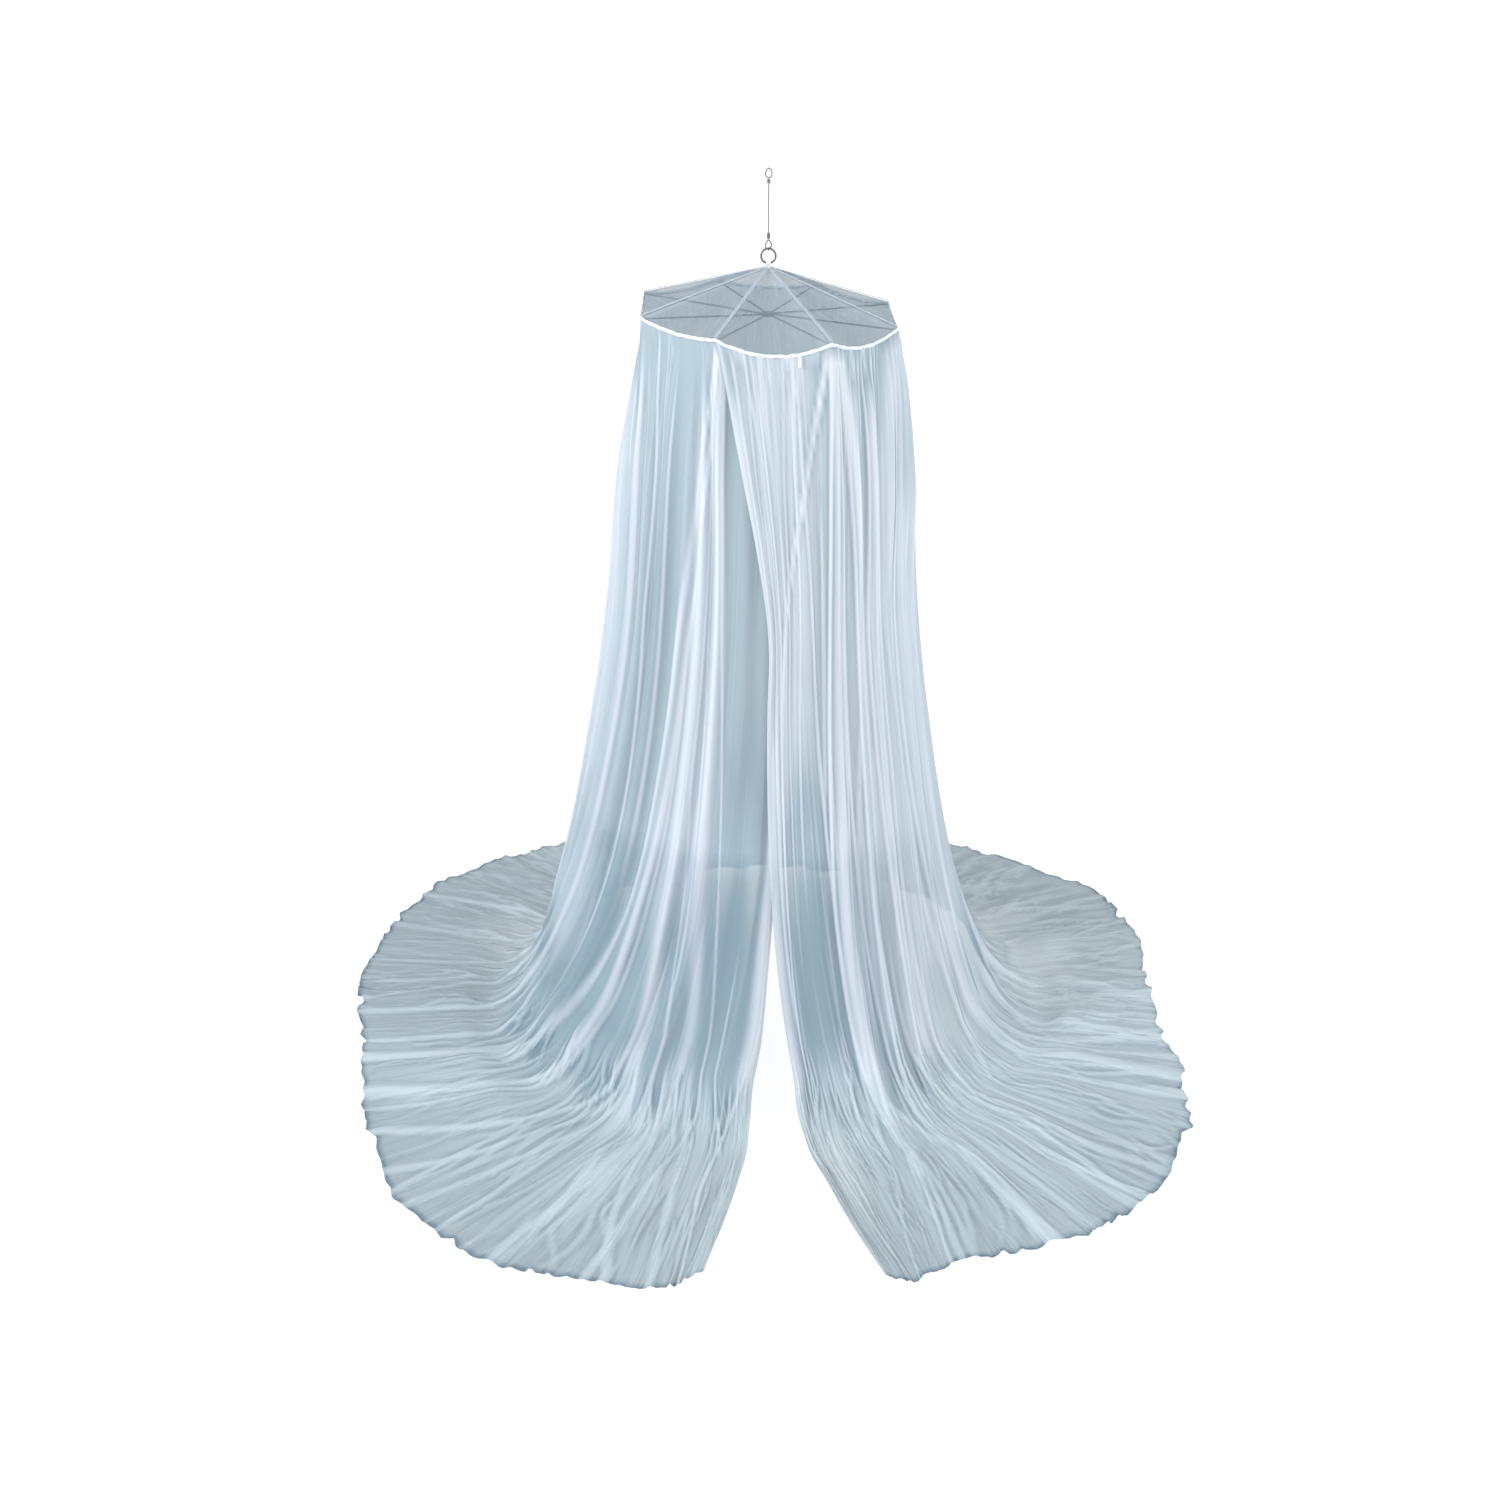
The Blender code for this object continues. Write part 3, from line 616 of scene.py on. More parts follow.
def door_hems(across, levels):
    """How strongly the doubled net along the two edges of the door shows on the grid."""
    low = ease((levels - 5) / 5)[:, None]
    right = bell(across, mix(0.14, 0.34, low), 4)
    left = bell(LAST_FOLD - across, mix(0.13, 0.42, low), 4)
    return right + left


def smooth_door(points, across, levels):
    """Draws the two edges of the door into one soft curve where the net turns onto the floor."""
    right = 0.009 * bell(levels - 12.6, 1.0)[:, None] * ease(1 - across / 1.4)
    left = 0.020 * bell(levels - 11.6, 1.7)[:, None] * ease(1 - (LAST_FOLD - across) / 1.4)
    points[..., 0] += left - right


def uneven_wave(along, seed, low, high, count):
    """An uneven ripple along a line, of this many waves to a unit of it, between about -1 and 1."""
    rng = np.random.default_rng(seed)
    wave = np.zeros_like(along)
    for _ in range(count):
        wave += np.sin(2 * np.pi * (rng.uniform(low, high) * along + rng.uniform()))
    return wave / math.sqrt(count) / 1.5


def columns():
    """Places across the skirt, closer together at the front and the sides than at the back."""
    places = []
    for fold in range(LAST_FOLD):
        from_edge = min(fold, LAST_FOLD - 1 - fold)
        count = FRONT_COLUMNS if from_edge < 8 else SIDE_COLUMNS if from_edge < 12 else BACK_COLUMNS
        places += [fold + i / count for i in range(count)]
    return np.array(places + [LAST_FOLD])


def mesh_object(name, points, faces, material, maps=(), marks=()):
    """A smooth mesh from points and faces, with UV maps and numbers that its finish reads, by their names."""
    mesh = bpy.data.meshes.new(name)
    mesh.from_pydata(np.asarray(points).reshape(-1, 3).tolist(), [], faces)
    mesh.materials.append(material)
    mesh.shade_smooth()
    corners = np.empty(len(mesh.loops), int)
    mesh.loops.foreach_get("vertex_index", corners)
    for title, places in dict(maps).items():
        layer = mesh.uv_layers.new(name=title)
        layer.data.foreach_set("uv", np.asarray(places).reshape(-1, 2)[corners].ravel())
    for title, values in dict(marks).items():
        layer = mesh.attributes.new(title, "FLOAT", "POINT")
        layer.data.foreach_set("value", np.asarray(values, float).ravel())
    obj = bpy.data.objects.new(name, mesh)
    bpy.context.scene.collection.objects.link(obj)
    return obj


def grid_faces(rows, columns, closed=False, looped=False):
    """The faces of a grid of points. Closed rows are rings, and in a looped grid the last meets the first."""
    faces = []
    for row in range(rows if looped else rows - 1):
        top = row * columns
        low = (row + 1) % rows * columns
        for left in range(columns if closed else columns - 1):
            right = (left + 1) % columns
            faces.append((top + left, low + left, low + right, top + right))
    return faces


def run_lengths(points, axis=0):
    """Lengths along a line or a grid of points, from its first point, row or column."""
    steps = np.linalg.norm(np.diff(points, axis=axis), axis=-1)
    start = np.zeros_like(np.take(steps, [0], axis=axis))
    return np.concatenate([start, np.cumsum(steps, axis=axis)], axis=axis)


def skirt_marks(across, levels):
    """(relief in metres, the numbers that the net's finish reads) on the skirt's grid."""
    bunched = broad_marks(BUNCHED, across, levels)
    single = broad_marks(SINGLE, across, levels)
    shaded = broad_marks(SHADED, across, levels, 0.55, 0.1)
    calm = 1 - broad_marks(CALM, across, levels)
    hemmed = door_hems(across, levels)
    crumple = ease((levels - 11.5) / 1.5)[:, None] + 0 * across

    # The creases and small folds stand out and are pale, and the troughs beside them are darkened with
    # painted shade.
    relief, white = crease_marks(across, levels)
    fine, fine_white = small_folds(across, levels)
    fewer = 1 - 0.85 * single * (levels < 13.5)[:, None]
    relief = (relief + fine * fewer) * calm + 0.014 * broad_marks(FULLER, across, levels)
    white = mix(mix(white, 1, fine_white * fewer * calm), 1, bunched)
    # Painted shade: where the net lies below its neighbours it is made darker and less white.
    trough_shade = (even_out(relief, 5, 1) - relief) / mix(0.0012, 0.0008, crumple)
    trough_shade = np.clip(trough_shade, 0, 1)
    # Painted shade: shaded net is less white here and deeper below.
    white = np.clip(white - 0.30 * trough_shade, 0, 1) * (1 - 0.35 * shaded)
    deep = mix(single, 1, 1.1 * trough_shade * (1 - 0.6 * bunched))
    deep = mix(deep, 1.3, shaded)

    # The door's doubled edges are paler down to the knee, and stand out a little.
    hem_white = 0.64 - 0.16 * ease((levels - 7.5) / 1.5) - 0.14 * ease(levels - 9.5)
    white = np.maximum(white, hem_white[:, None] * hemmed)
    relief = relief + 0.002 * hemmed
    clear = broad_marks(CLEAR, across, levels) * (1 - hemmed)
    gather = np.clip(0.25 + 0.9 * bunched + 0.3 * white - 0.5 * single, 0.05, 1) * calm

    # The back wall's foot, where the net turns onto the floor, gets a dark line, partly doubled net and
    # partly painted contact shade, that shows through the front.
    foot = 0.55 * bell(levels - 13.70, 0.26)[:, None] * ease((9.5 - np.abs(across - LAST_FOLD / 2)) / 3)
    deep = np.maximum(mix(deep, 1.2, foot), 0.14 * crumple)
    white = white * (1 - foot) * (1 - 0.15 * crumple)
    clear = clear - 0.4 * foot
    marks = {"fold": white, "deep": deep, "clear": clear, "gather": gather, "crumple": crumple}
    return relief, marks


def ruffle_hem(points, from_hem):
    """Moves the hem out and up in uneven ruffles. Each row is so far from the hem."""
    near_hem = ease(1 - from_hem / 0.05)[:, None]
    along = run_lengths(points[-1])
    ripple = uneven_wave(along, 3, 2.0, 20.0, 9)
    flutter = np.maximum(uneven_wave(along, 4, 7.0, 26.0, 5), 0)
    uneven = (0.5 + 0.5 * np.clip(uneven_wave(along, 5, 1.5, 5.0, 4), -1, 1)) ** 2
    outward = points[..., :2] / np.linalg.norm(points[..., :2], axis=2, keepdims=True)
    push = near_hem * (0.010 + ripple * (0.003 + 0.012 * uneven))
    points[..., :2] += outward * push[..., None]
    points[..., 2] += near_hem * flutter * (0.003 + 0.013 * uneven)
    points[..., 2] = np.maximum(points[..., 2], SHEET_LIFT - HOOK_HEIGHT)


def add_skirt(material):
    """The skirt's cloth: its folds, the creases and crumples on them, and its ruffled hem."""
    across = columns()
    points, places, levels = smooth_rows(Skirt(across).rows())
    relief, marks = skirt_marks(across, levels)
    smooth_door(points, across, levels)
    points = points + grid_normals(points) * relief[..., None]
    from_hem = places[-1] - places
    ruffle_hem(points, from_hem)
    marks["hem"] = bell(from_hem, 0.008)[:, None] + 0 * across
    grain = np.stack([run_lengths(points, 1), run_lengths(points, 0)], axis=-1)
    flow = np.stack(np.broadcast_arrays(across / 40, places[:, None] / 40), axis=-1)
    faces = grid_faces(len(levels), len(across))
    return mesh_object("net_skirt_cloth", points, faces, material, {"grain": grain, "flow": flow}, marks)


def rim_azimuths(steps):
    """Azimuths along the rim: each corner, and even steps along the straight edge after it."""
    azimuths = []
    for i in range(len(CORNERS)):
        start, end = at(CORNER_AZIMUTHS[i : i + 2], CORNER_RADII[i : i + 2], 0.0)
        x, y = (mix(start[k], end[k], np.arange(steps) / steps) for k in (0, 1))
        azimuths.append(np.degrees(np.arctan2(x, -y)))
    return np.concatenate(azimuths)


def add_roof(material):
    """The pyramid roof, straight along its ridges and slack between them, drawn in at the apex."""
    azimuths = rim_azimuths(20)
    rings = np.linspace(0.02, 1.0, 30)[:, None]
    radius, height = rim_at(azimuths)
    from_ridge = degrees_apart(azimuths[:, None], CORNER_AZIMUTHS).min(axis=1)
    points = at(azimuths, (radius - SEAM_INSET) * rings, mix(APEX_HEIGHT, height, rings) - 0.0012)
    points[..., 2] -= np.sin(np.pi * rings) * ease(from_ridge / 15) * 0.004
    white = 0.12 + 0.40 * bell(from_ridge, 2.0) + 0.10 * (1 - rings)
    rng = np.random.default_rng(11)
    for _ in range(60):
        centre = rng.uniform(0, 360)
        wide = rng.uniform(0.8, 2.2)
        start, stop = sorted(rng.uniform(0.0, 1.3, 2))
        turn = degrees_apart(azimuths, centre + 6 * rng.uniform(-1, 1))
        profile = ease((rings - start) * 6) * ease((stop - rings) * 6) * bell(turn, wide)
        points[..., 2] += 0.0012 * profile * ease((1 - rings) * 8)
        white = mix(white, 1, profile * rng.uniform(0.1, 0.3))
    flow = np.stack(np.broadcast_arrays(azimuths / 360, rings / 8), axis=-1)
    faces = grid_faces(len(rings), len(azimuths), closed=True) + [tuple(range(len(azimuths)))]
    marks = {"fold": white, "gather": 0.4 + 0 * white, "deep": 1.05 - 0.50 * rings + 0 * white}
    return mesh_object("roof_net", points, faces, material, {"grain": points[..., :2], "flow": flow}, marks)


class Signal:
    """A number that changes over a surface, written in plain arithmetic."""

    def __init__(self, finish, socket):
        self.finish = finish
        self.socket = socket

    def combine(self, operation, first, second):
        return self.finish.add("ShaderNodeMath", {"operation": operation}, {0: first, 1: second})

    def __add__(self, other):
        return self.combine("ADD", self, other)

    def __radd__(self, other):
        return self.combine("ADD", other, self)

    def __sub__(self, other):
        return self.combine("SUBTRACT", self, other)

    def __rsub__(self, other):
        return self.combine("SUBTRACT", other, self)

    def __mul__(self, other):
        return self.combine("MULTIPLY", self, other)

    def __rmul__(self, other):
        return self.combine("MULTIPLY", other, self)

    def __truediv__(self, other):
        return self.combine("DIVIDE", self, other)

    def size(self):
        return self.finish.add("ShaderNodeMath", {"operation": "ABSOLUTE"}, {0: self})

    def least(self, other):
        return self.combine("MINIMUM", self, other)


class Finish:
    """A material whose look is worked out on the surface from patterns and numbers."""

    def __init__(self, name, constants=()):
        self.material = bpy.data.materials.new(name)
        self.material.use_nodes = True
        self.tree = self.material.node_tree
        self.shader = self.tree.nodes["Principled BSDF"]
        for title, value in dict(constants).items():
            self.shader.inputs[title].default_value = value

    def add(self, kind, settings, values, output=0):
        """One node: its settings first, then the values or links of its sockets."""
        node = self.tree.nodes.new(kind)
        for title, value in settings.items():
            setattr(node, title, value)
        for title, value in values.items():
            self.feed(node.inputs[title], value)
        return Signal(self, node.outputs[output])

    def feed(self, socket, value):
        if isinstance(value, Signal):
            self.tree.links.new(value.socket, socket)
        else:
            socket.default_value = value

    def drive(self, title, value):
        self.feed(self.shader.inputs[title], value)

    def mark(self, title):
        return self.add("ShaderNodeAttribute", {"attribute_name": title}, {}, "Fac")

    def uv(self, title, scale=(1, 1, 1)):
        spot = self.add("ShaderNodeUVMap", {"uv_map": title}, {})
        return self.add("ShaderNodeMapping", {}, {"Vector": spot, "Scale": scale})

    def place(self, scale=(1, 1, 1)):
        spot = self.add("ShaderNodeTexCoord", {}, {}, "Object")
        return self.add("ShaderNodeMapping", {}, {"Vector": spot, "Scale": scale})

    def noise(self, vector, scale, detail=2.0, roughness=0.5, distortion=0.0):
        values = {
            "Vector": vector,
            "Scale": scale,
            "Detail": detail,
            "Roughness": roughness,
            "Distortion": distortion,
        }
        return self.add("ShaderNodeTexNoise", {}, values, "Fac")

    def step(self, value, low, high):
        """0 below one level and 1 above the other, with a soft way between."""
        values = {"Value": value, "From Min": low, "From Max": high}
        return self.add("ShaderNodeMapRange", {"interpolation_type": "SMOOTHSTEP"}, values)

    def blend(self, share, first, second):
        """A colour between two colours."""
        settings = {"data_type": "RGBA"}
        return self.add("ShaderNodeMix", settings, {0: share, 6: first, 7: second}, 2)

    def bump(self, height, strength):
        """Relief of this height in metres."""
        values = {"Height": height, "Distance": 1.0, "Strength": strength}
        self.drive("Normal", self.add("ShaderNodeBump", {}, values))


# The net's colours where it lies single, where it is deep and where painted shade darkens it, where it
# bunches and where it is spread out.
NET_FLAT = (0.295, 0.386, 0.440, 1)
NET_DEEP = (0.126, 0.198, 0.248, 1)
NET_FOLD = (0.575, 0.618, 0.688, 1)
NET_SPREAD = (0.545, 0.632, 0.686, 1)
MOST_DEEP = 1.6
# The gathers' fine, thin and broad streaks: their scale, detail, roughness, the levels that they come in
# between, and their weight.
STREAKS = (
    ((400, 44, 1), 3.0, 0.6, 0.50, 0.74, 0.45),
    ((1100, 90, 1), 2.0, 0.5, 0.52, 0.72, 0.12),
    ((170, 26, 1), 2.0, 0.5, 0.50, 0.68, 0.20),
)


def sheer_net(name, opacity):
    """Fine knitted net: see-through and grey-blue where it lies single, milky where it bunches."""
    finish = Finish(name, {"Roughness": 0.85, "Specular IOR Level": 0.25})
    fold = finish.mark("fold")
    gather = finish.mark("gather")
    hem = finish.mark("hem")
    streak = 0.0
    for scale, detail, roughness, low, high, weight in STREAKS:
        pattern = finish.noise(finish.uv("flow", scale), 1.0, detail, roughness)
        streak = streak + finish.step(pattern, low, high) * gather * weight
    crinkle = finish.noise(finish.uv("flow", (520, 130, 1)), 1.0, 2.0, 0.5, 0.5)
    crumple = finish.mark("crumple")
    line = finish.step((crinkle - 0.5).size(), 0.035, 0.0) * crumple
    # Painted shade: a dark line in each crinkle's valley, beside its pale crest.
    valley_shade = finish.step((crinkle - 0.56).size(), 0.035, 0.0) * crumple
    deep = (finish.mark("deep") + 1.2 * hem + 0.42 * valley_shade).least(MOST_DEEP)
    cell = finish.add(
        "ShaderNodeTexVoronoi",
        {"voronoi_dimensions": "2D", "feature": "DISTANCE_TO_EDGE"},
        {"Vector": finish.uv("grain"), "Scale": 520.0, "Randomness": 0.4},
    )
    thread = 1 - finish.step(cell, 0.05, 0.16)
    white = (fold + streak + line * 0.12).least(1.0)
    flat = finish.blend(deep / MOST_DEEP, NET_FLAT, NET_DEEP)
    pale = finish.blend(crumple, NET_FOLD, NET_SPREAD)
    finish.drive("Base Color", finish.blend(white, flat, pale))
    shown = opacity - 0.07 - 0.30 * finish.mark("clear") + 0.22 * white + 0.14 * thread + 0.3 * hem
    shown = shown + 0.08 * crumple
    finish.drive("Alpha", shown.least(1.0))
    finish.bump(streak * 0.0009 + line * 0.0010 - valley_shade * 0.0008 + thread * 0.0001, 0.8)
    return finish.material


def woven_tape(name, dark, light, opacity):
    """White woven tape with a twill across it."""
    finish = Finish(name, {"Roughness": 0.8, "Specular IOR Level": 0.3, "Alpha": opacity})
    rib = finish.add(
        "ShaderNodeTexWave",
        {"wave_type": "BANDS", "bands_direction": "DIAGONAL"},
        {"Vector": finish.place(), "Scale": 420.0, "Distortion": 0.6, "Detail": 1.0},
        "Fac",
    )
    cloud = finish.noise(finish.place(), 60.0, 3.0)
    shade = (0.30 * rib + 0.5 * cloud).least(1.0)
    finish.drive("Base Color", finish.blend(shade, dark, light))
    finish.bump(rib * 0.00025 + cloud * 0.0002, 0.7)
    return finish.material


def sewing_thread():
    finish = Finish("sewing_thread", {"Roughness": 0.6, "Specular IOR Level": 0.4})
    twist = finish.noise(finish.place(), 2600.0, 2.0)
    finish.drive("Base Color", finish.blend(twist, (0.66, 0.71, 0.75, 1), (0.88, 0.90, 0.92, 1)))
    finish.bump(twist * 0.00008, 0.6)
    return finish.material


def twisted_cord():
    finish = Finish("twisted_cord", {"Roughness": 0.75, "Specular IOR Level": 0.3})
    fibre = finish.noise(finish.place((1, 1, 0.35)), 1800.0, 2.0)
    # Painted shade and light: the grooves between the strands are darker and their crowns paler.
    ply = finish.mark("ply")
    shade = (0.65 * ply + 0.35 * fibre).least(1.0)
    finish.drive("Base Color", finish.blend(shade, (0.03, 0.03, 0.028, 1), (0.20, 0.195, 0.185, 1)))
    finish.bump(fibre * 0.0001, 0.5)
    return finish.material


def plain_steel():
    """Nickel-plated steel wire, a little dull, with fine scratches."""
    finish = Finish("plain_steel", {"Metallic": 1.0})
    scratch = finish.noise(finish.place((1, 1, 6)), 900.0, 3.0, 0.7)
    haze = finish.noise(finish.place(), 120.0, 2.0)
    finish.drive("Base Color", finish.blend(haze, (0.085, 0.080, 0.070, 1), (0.20, 0.19, 0.17, 1)))
    finish.drive("Roughness", 0.28 + 0.25 * scratch)
    finish.bump(scratch * 0.00003, 0.4)
    return finish.material


def coated_rod():
    finish = Finish("coated_rod", {"Coat Roughness": 0.3})
    speck = finish.noise(finish.place(), 700.0, 3.0, 0.6)
    worn = finish.step(finish.noise(finish.place(), 45.0, 2.0), 0.58, 0.72)
    finish.drive("Base Color", finish.blend(worn, (0.035, 0.050, 0.065, 1), (0.085, 0.10, 0.12, 1)))
    finish.drive("Roughness", 0.35 + 0.2 * speck)
    finish.bump(speck * 0.00008, 0.5)
    return finish.material


def moulded_plastic():
    finish = Finish("moulded_plastic", {"Specular IOR Level": 0.4})
    grain = finish.noise(finish.place(), 1200.0, 2.0)
    cloud = finish.noise(finish.place(), 80.0, 2.0)
    finish.drive("Base Color", finish.blend(cloud, (0.055, 0.065, 0.075, 1), (0.095, 0.108, 0.12, 1)))
    finish.drive("Roughness", 0.45 + 0.15 * grain)
    finish.bump(grain * 0.00006, 0.5)
    return finish.material


def tube_object(name, points, material, closed=False, marks=()):
    """A mesh through rings of points along a path, shut at its ends, or closed into a loop."""
    steps, sides = points.shape[:2]
    faces = grid_faces(steps, sides, closed=True, looped=closed)
    if not closed:
        last = (steps - 1) * sides
        faces += [tuple(range(sides)), tuple(range(last + sides - 1, last - 1, -1))]
    obj = mesh_object(name, points, faces, material, marks=marks)
    work = bmesh.new()
    work.from_mesh(obj.data)
    bmesh.ops.recalc_face_normals(work, faces=work.faces)
    work.to_mesh(obj.data)
    work.free()
    return obj


def tube_along(name, path, radius, material, closed=False, lobes=0, pitch=1.0, sides=20):
    """A tube along points, plain or with lobes that wind round it as the strands of a cord do."""
    path = np.asarray(path, float)
    if closed:
        ahead = np.roll(path, -1, axis=0) - np.roll(path, 1, axis=0)
    else:
        ahead = np.gradient(path, axis=0)
    ahead /= np.linalg.norm(ahead, axis=1, keepdims=True)
    first = np.cross(ahead[0], UP)
    if np.linalg.norm(first) < 0.1:
        first = np.array((1.0, 0.0, 0.0))
    angle = full_turn(sides)
    points = []
    ply = []
    for spot, direction, done in zip(path, ahead, run_lengths(path)):
        first = first - direction * np.dot(first, direction)
        first = first / np.linalg.norm(first)
        second = np.cross(direction, first)
        wind = np.abs(np.cos((angle - 2 * np.pi * done / pitch) * lobes / 2))
        reach = radius * (0.86 + 0.18 * wind)
        points.append(spot + np.outer(reach * np.cos(angle), first) + np.outer(reach * np.sin(angle), second))
        # The strands' wind is kept for the cord's painted shade: low in the grooves, high on the crowns.
        ply.append(wind)
    return tube_object(name, np.array(points), material, closed, {"ply": np.array(ply)})


def add_strands(name, path, radius, cord, closed=False):
    """A length of the twisted cord."""
    return tube_along(name, path, radius, cord, closed, lobes=STRANDS, pitch=STRANDS * CORD_TWIST)


def add_knot(name, low, high, turns, cord):
    """The wraps of a knot: the cord goes round itself from bottom to top, fuller in the middle."""
    share = np.linspace(0, 1, 25 * turns)
    angle = share * turns * 2 * np.pi
    reach = 0.0028 * np.sqrt(np.clip(1 - (2 * share - 1) ** 4, 0.12, 1))
    height = mix(low + CORD_RADIUS, high - CORD_RADIUS, share) - HOOK_HEIGHT
    path = np.stack([reach * np.cos(angle), reach * np.sin(angle), height], axis=-1)
    return tube_along(name, path, CORD_RADIUS, cord, sides=12)


def loop_path(low, high, turn_low, turn_high):
    """A pear-shaped loop of cord between two heights, which turns about its own height on its way up."""
    angle = full_turn(90)
    rise = (1 - np.cos(angle)) / 2
    out = LOOP_HALF_WIDTH * np.sin(angle) * (LOOP_FULLNESS - LOOP_NARROWING * rise)
    turn = mix(turn_low, turn_high, ease(2 * rise))
    height = mix(low, high, rise) - HOOK_HEIGHT
    return np.stack([out * np.cos(turn), out * np.sin(turn), height], axis=-1)


def add_hanging(cord, steel):
    """The cord from the ring's knot to the hook, its loops and knots, and the steel ring."""
    steps = range(CORD_STEPS + 1)
    path = [(0.0, 0.0, mix(CORD_BOTTOM, CORD_TOP, i / CORD_STEPS) - HOOK_HEIGHT) for i in steps]
    line = add_strands("hanging_line", path, CORD_RADIUS, cord)
    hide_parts("hanging_cord")
    knot_low = CORD_BOTTOM - TOUCH_GAP - KNOT_HEIGHT
    knot = add_knot("wrapped_knot", knot_low, CORD_BOTTOM, 6, cord)
    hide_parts("cord_knot")
    lowest = RING_HEIGHT + RING_RADIUS - RING_FULLNESS * RING_WIRE - LOOP_CORD_RADIUS
    highest = knot_low - TOUCH_GAP - CORD_RADIUS
    low_loop = loop_path(lowest, highest, math.radians(90), math.radians(12))
    small_loop = add_strands("small_loop", low_loop, LOOP_CORD_RADIUS, cord, closed=True)
    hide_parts("ring_loop")
    top_low = CORD_TOP + TOUCH_GAP
    top = add_knot("upper_wraps", top_low, top_low + TOP_KNOT_HEIGHT, 4, cord)
    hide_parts("top_knot")
    loop_low = CORD_TOP + TOP_KNOT_HEIGHT + 2 * TOUCH_GAP + CORD_RADIUS
    high_loop = loop_path(loop_low, HOOK_HEIGHT + CORD_RADIUS, 0.0, 0.0)
    upper_loop = add_strands("upper_loop", high_loop, CORD_RADIUS, cord, closed=True)
    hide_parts("hook_loop")
    angle = full_turn(96)
    circle = RING_RADIUS * np.stack([np.cos(angle), 0 * angle, np.sin(angle)], axis=-1)
    circle = circle + (RING_HEIGHT - HOOK_HEIGHT) * UP
    ring = tube_along("steel_ring", circle, RING_WIRE * RING_FULLNESS, steel, closed=True)
    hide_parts("metal_ring")
    for piece in (line, knot, small_loop, top, upper_loop):
        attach(piece, "root")
    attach(ring, "root")


def add_band(name, path, across, up, width, thickness, material, closed=False):
    """A band of tape along points: across it lies its width, and up points out of its face."""
    wide = np.reshape(width, (-1, 1, 1)) * BAND_SECTION[:, :1]
    high = thickness * BAND_SECTION[:, 1:]
    points = path[:, None] + wide * across[:, None] + high * up[:, None]
    return tube_object(name, points, material, closed)


def rim_line():
    """The rim binding's line, pushed out and dipped by the gathers, its outward directions and its run."""
    azimuths = rim_azimuths(72)
    radius, height = rim_at(azimuths)
    path = at(azimuths, radius + 0.0004, height + 0.0006 - TAPE_WIDTH / 2)
    outward = at(azimuths, 1.0, HOOK_HEIGHT)
    along = run_lengths(path)
    push = 0.0004 + 0.0005 * uneven_wave(along, 21, 20.0, 75.0, 7)
    dip = 0.0009 * uneven_wave(along, 22, 9.0, 40.0, 6)
    path = path + outward * np.clip(push, 0, 0.0016)[:, None] + np.outer(dip, UP)
    return path, outward, along


def add_rim_binding(tape):
    """The white binding of the rim, folded over the seam and puckered by the gathers below it."""
    path, outward, along = rim_line()
    up = np.tile(UP, (len(path), 1))
    widths = RIM_BINDING_WIDTH * (1 + 0.16 * uneven_wave(along, 23, 14.0, 55.0, 6))
    obj = add_band("rim_binding", path, up, outward, widths, TAPE_THICKNESS, tape, closed=True)
    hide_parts("rim_tape")
    return obj


def ridge_line(corner):
    """The middle of a seam of the roof from the apex to the rim, with its sideways and upward directions."""
    radius, height = (float(value) for value in rim_at(corner.azimuth))
    distance = np.linspace(0.014, radius - 0.003, 60)
    fall = (APEX_HEIGHT - height) / radius
    path = at(corner.azimuth + 0 * distance, distance, APEX_HEIGHT - fall * distance + 0.0005)
    side = at(corner.azimuth + 90, 1.0, HOOK_HEIGHT)
    up = np.cross(side, path[-1] - path[0])
    up *= np.sign(up[2]) / np.linalg.norm(up)
    return path, np.tile(side, (len(path), 1)), np.tile(up, (len(path), 1))


def add_ridge_binding(number, corner, tape):
    """A strip of tape over one seam of the roof, drawn a little uneven by its stitches."""
    path, side, up = ridge_line(corner)
    along = run_lengths(path)
    path = path + up * (0.0003 * uneven_wave(along, 30 + number, 30.0, 80.0, 4))[:, None]
    widths = RIDGE_WIDTH * (1 + 0.07 * uneven_wave(along, 40 + number, 12.0, 50.0, 5))
    obj = add_band(f"ridge_binding_{number}", path, side, up, widths, TAPE_THICKNESS, tape)
    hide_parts(f"ridge_tape_{number}")
    return obj


def add_tab(tape):
    """The loose end of the rim tape, curling a little away from the net and turning on its way down."""
    radius, height = (float(value) for value in rim_at(TAB_AZIMUTH))
    facing = (CORNERS[0].azimuth + CORNERS[1].azimuth) / 2
    outward = at(facing, 1.0, HOOK_HEIGHT)
    side = at(facing + 90, 1.0, HOOK_HEIGHT)
    share = np.linspace(0, 1, 18)[:, None]
    top = at(TAB_AZIMUTH, radius, height + 0.001 - TAPE_WIDTH / 2)
    path = top + outward * (0.0021 + 0.004 * share**1.6) + side * (0.0015 * np.sin(3 * share))
    path = path - UP * TAB_LENGTH * share
    across = side * np.cos(0.5 * share) + outward * np.sin(0.5 * share)
    face = outward * np.cos(0.5 * share) - side * np.sin(0.5 * share)
    obj = add_band("loose_tape_end", path, across, face, RIM_BINDING_WIDTH, TAB_THICKNESS, tape)
    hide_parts("tape_tab")
    return obj


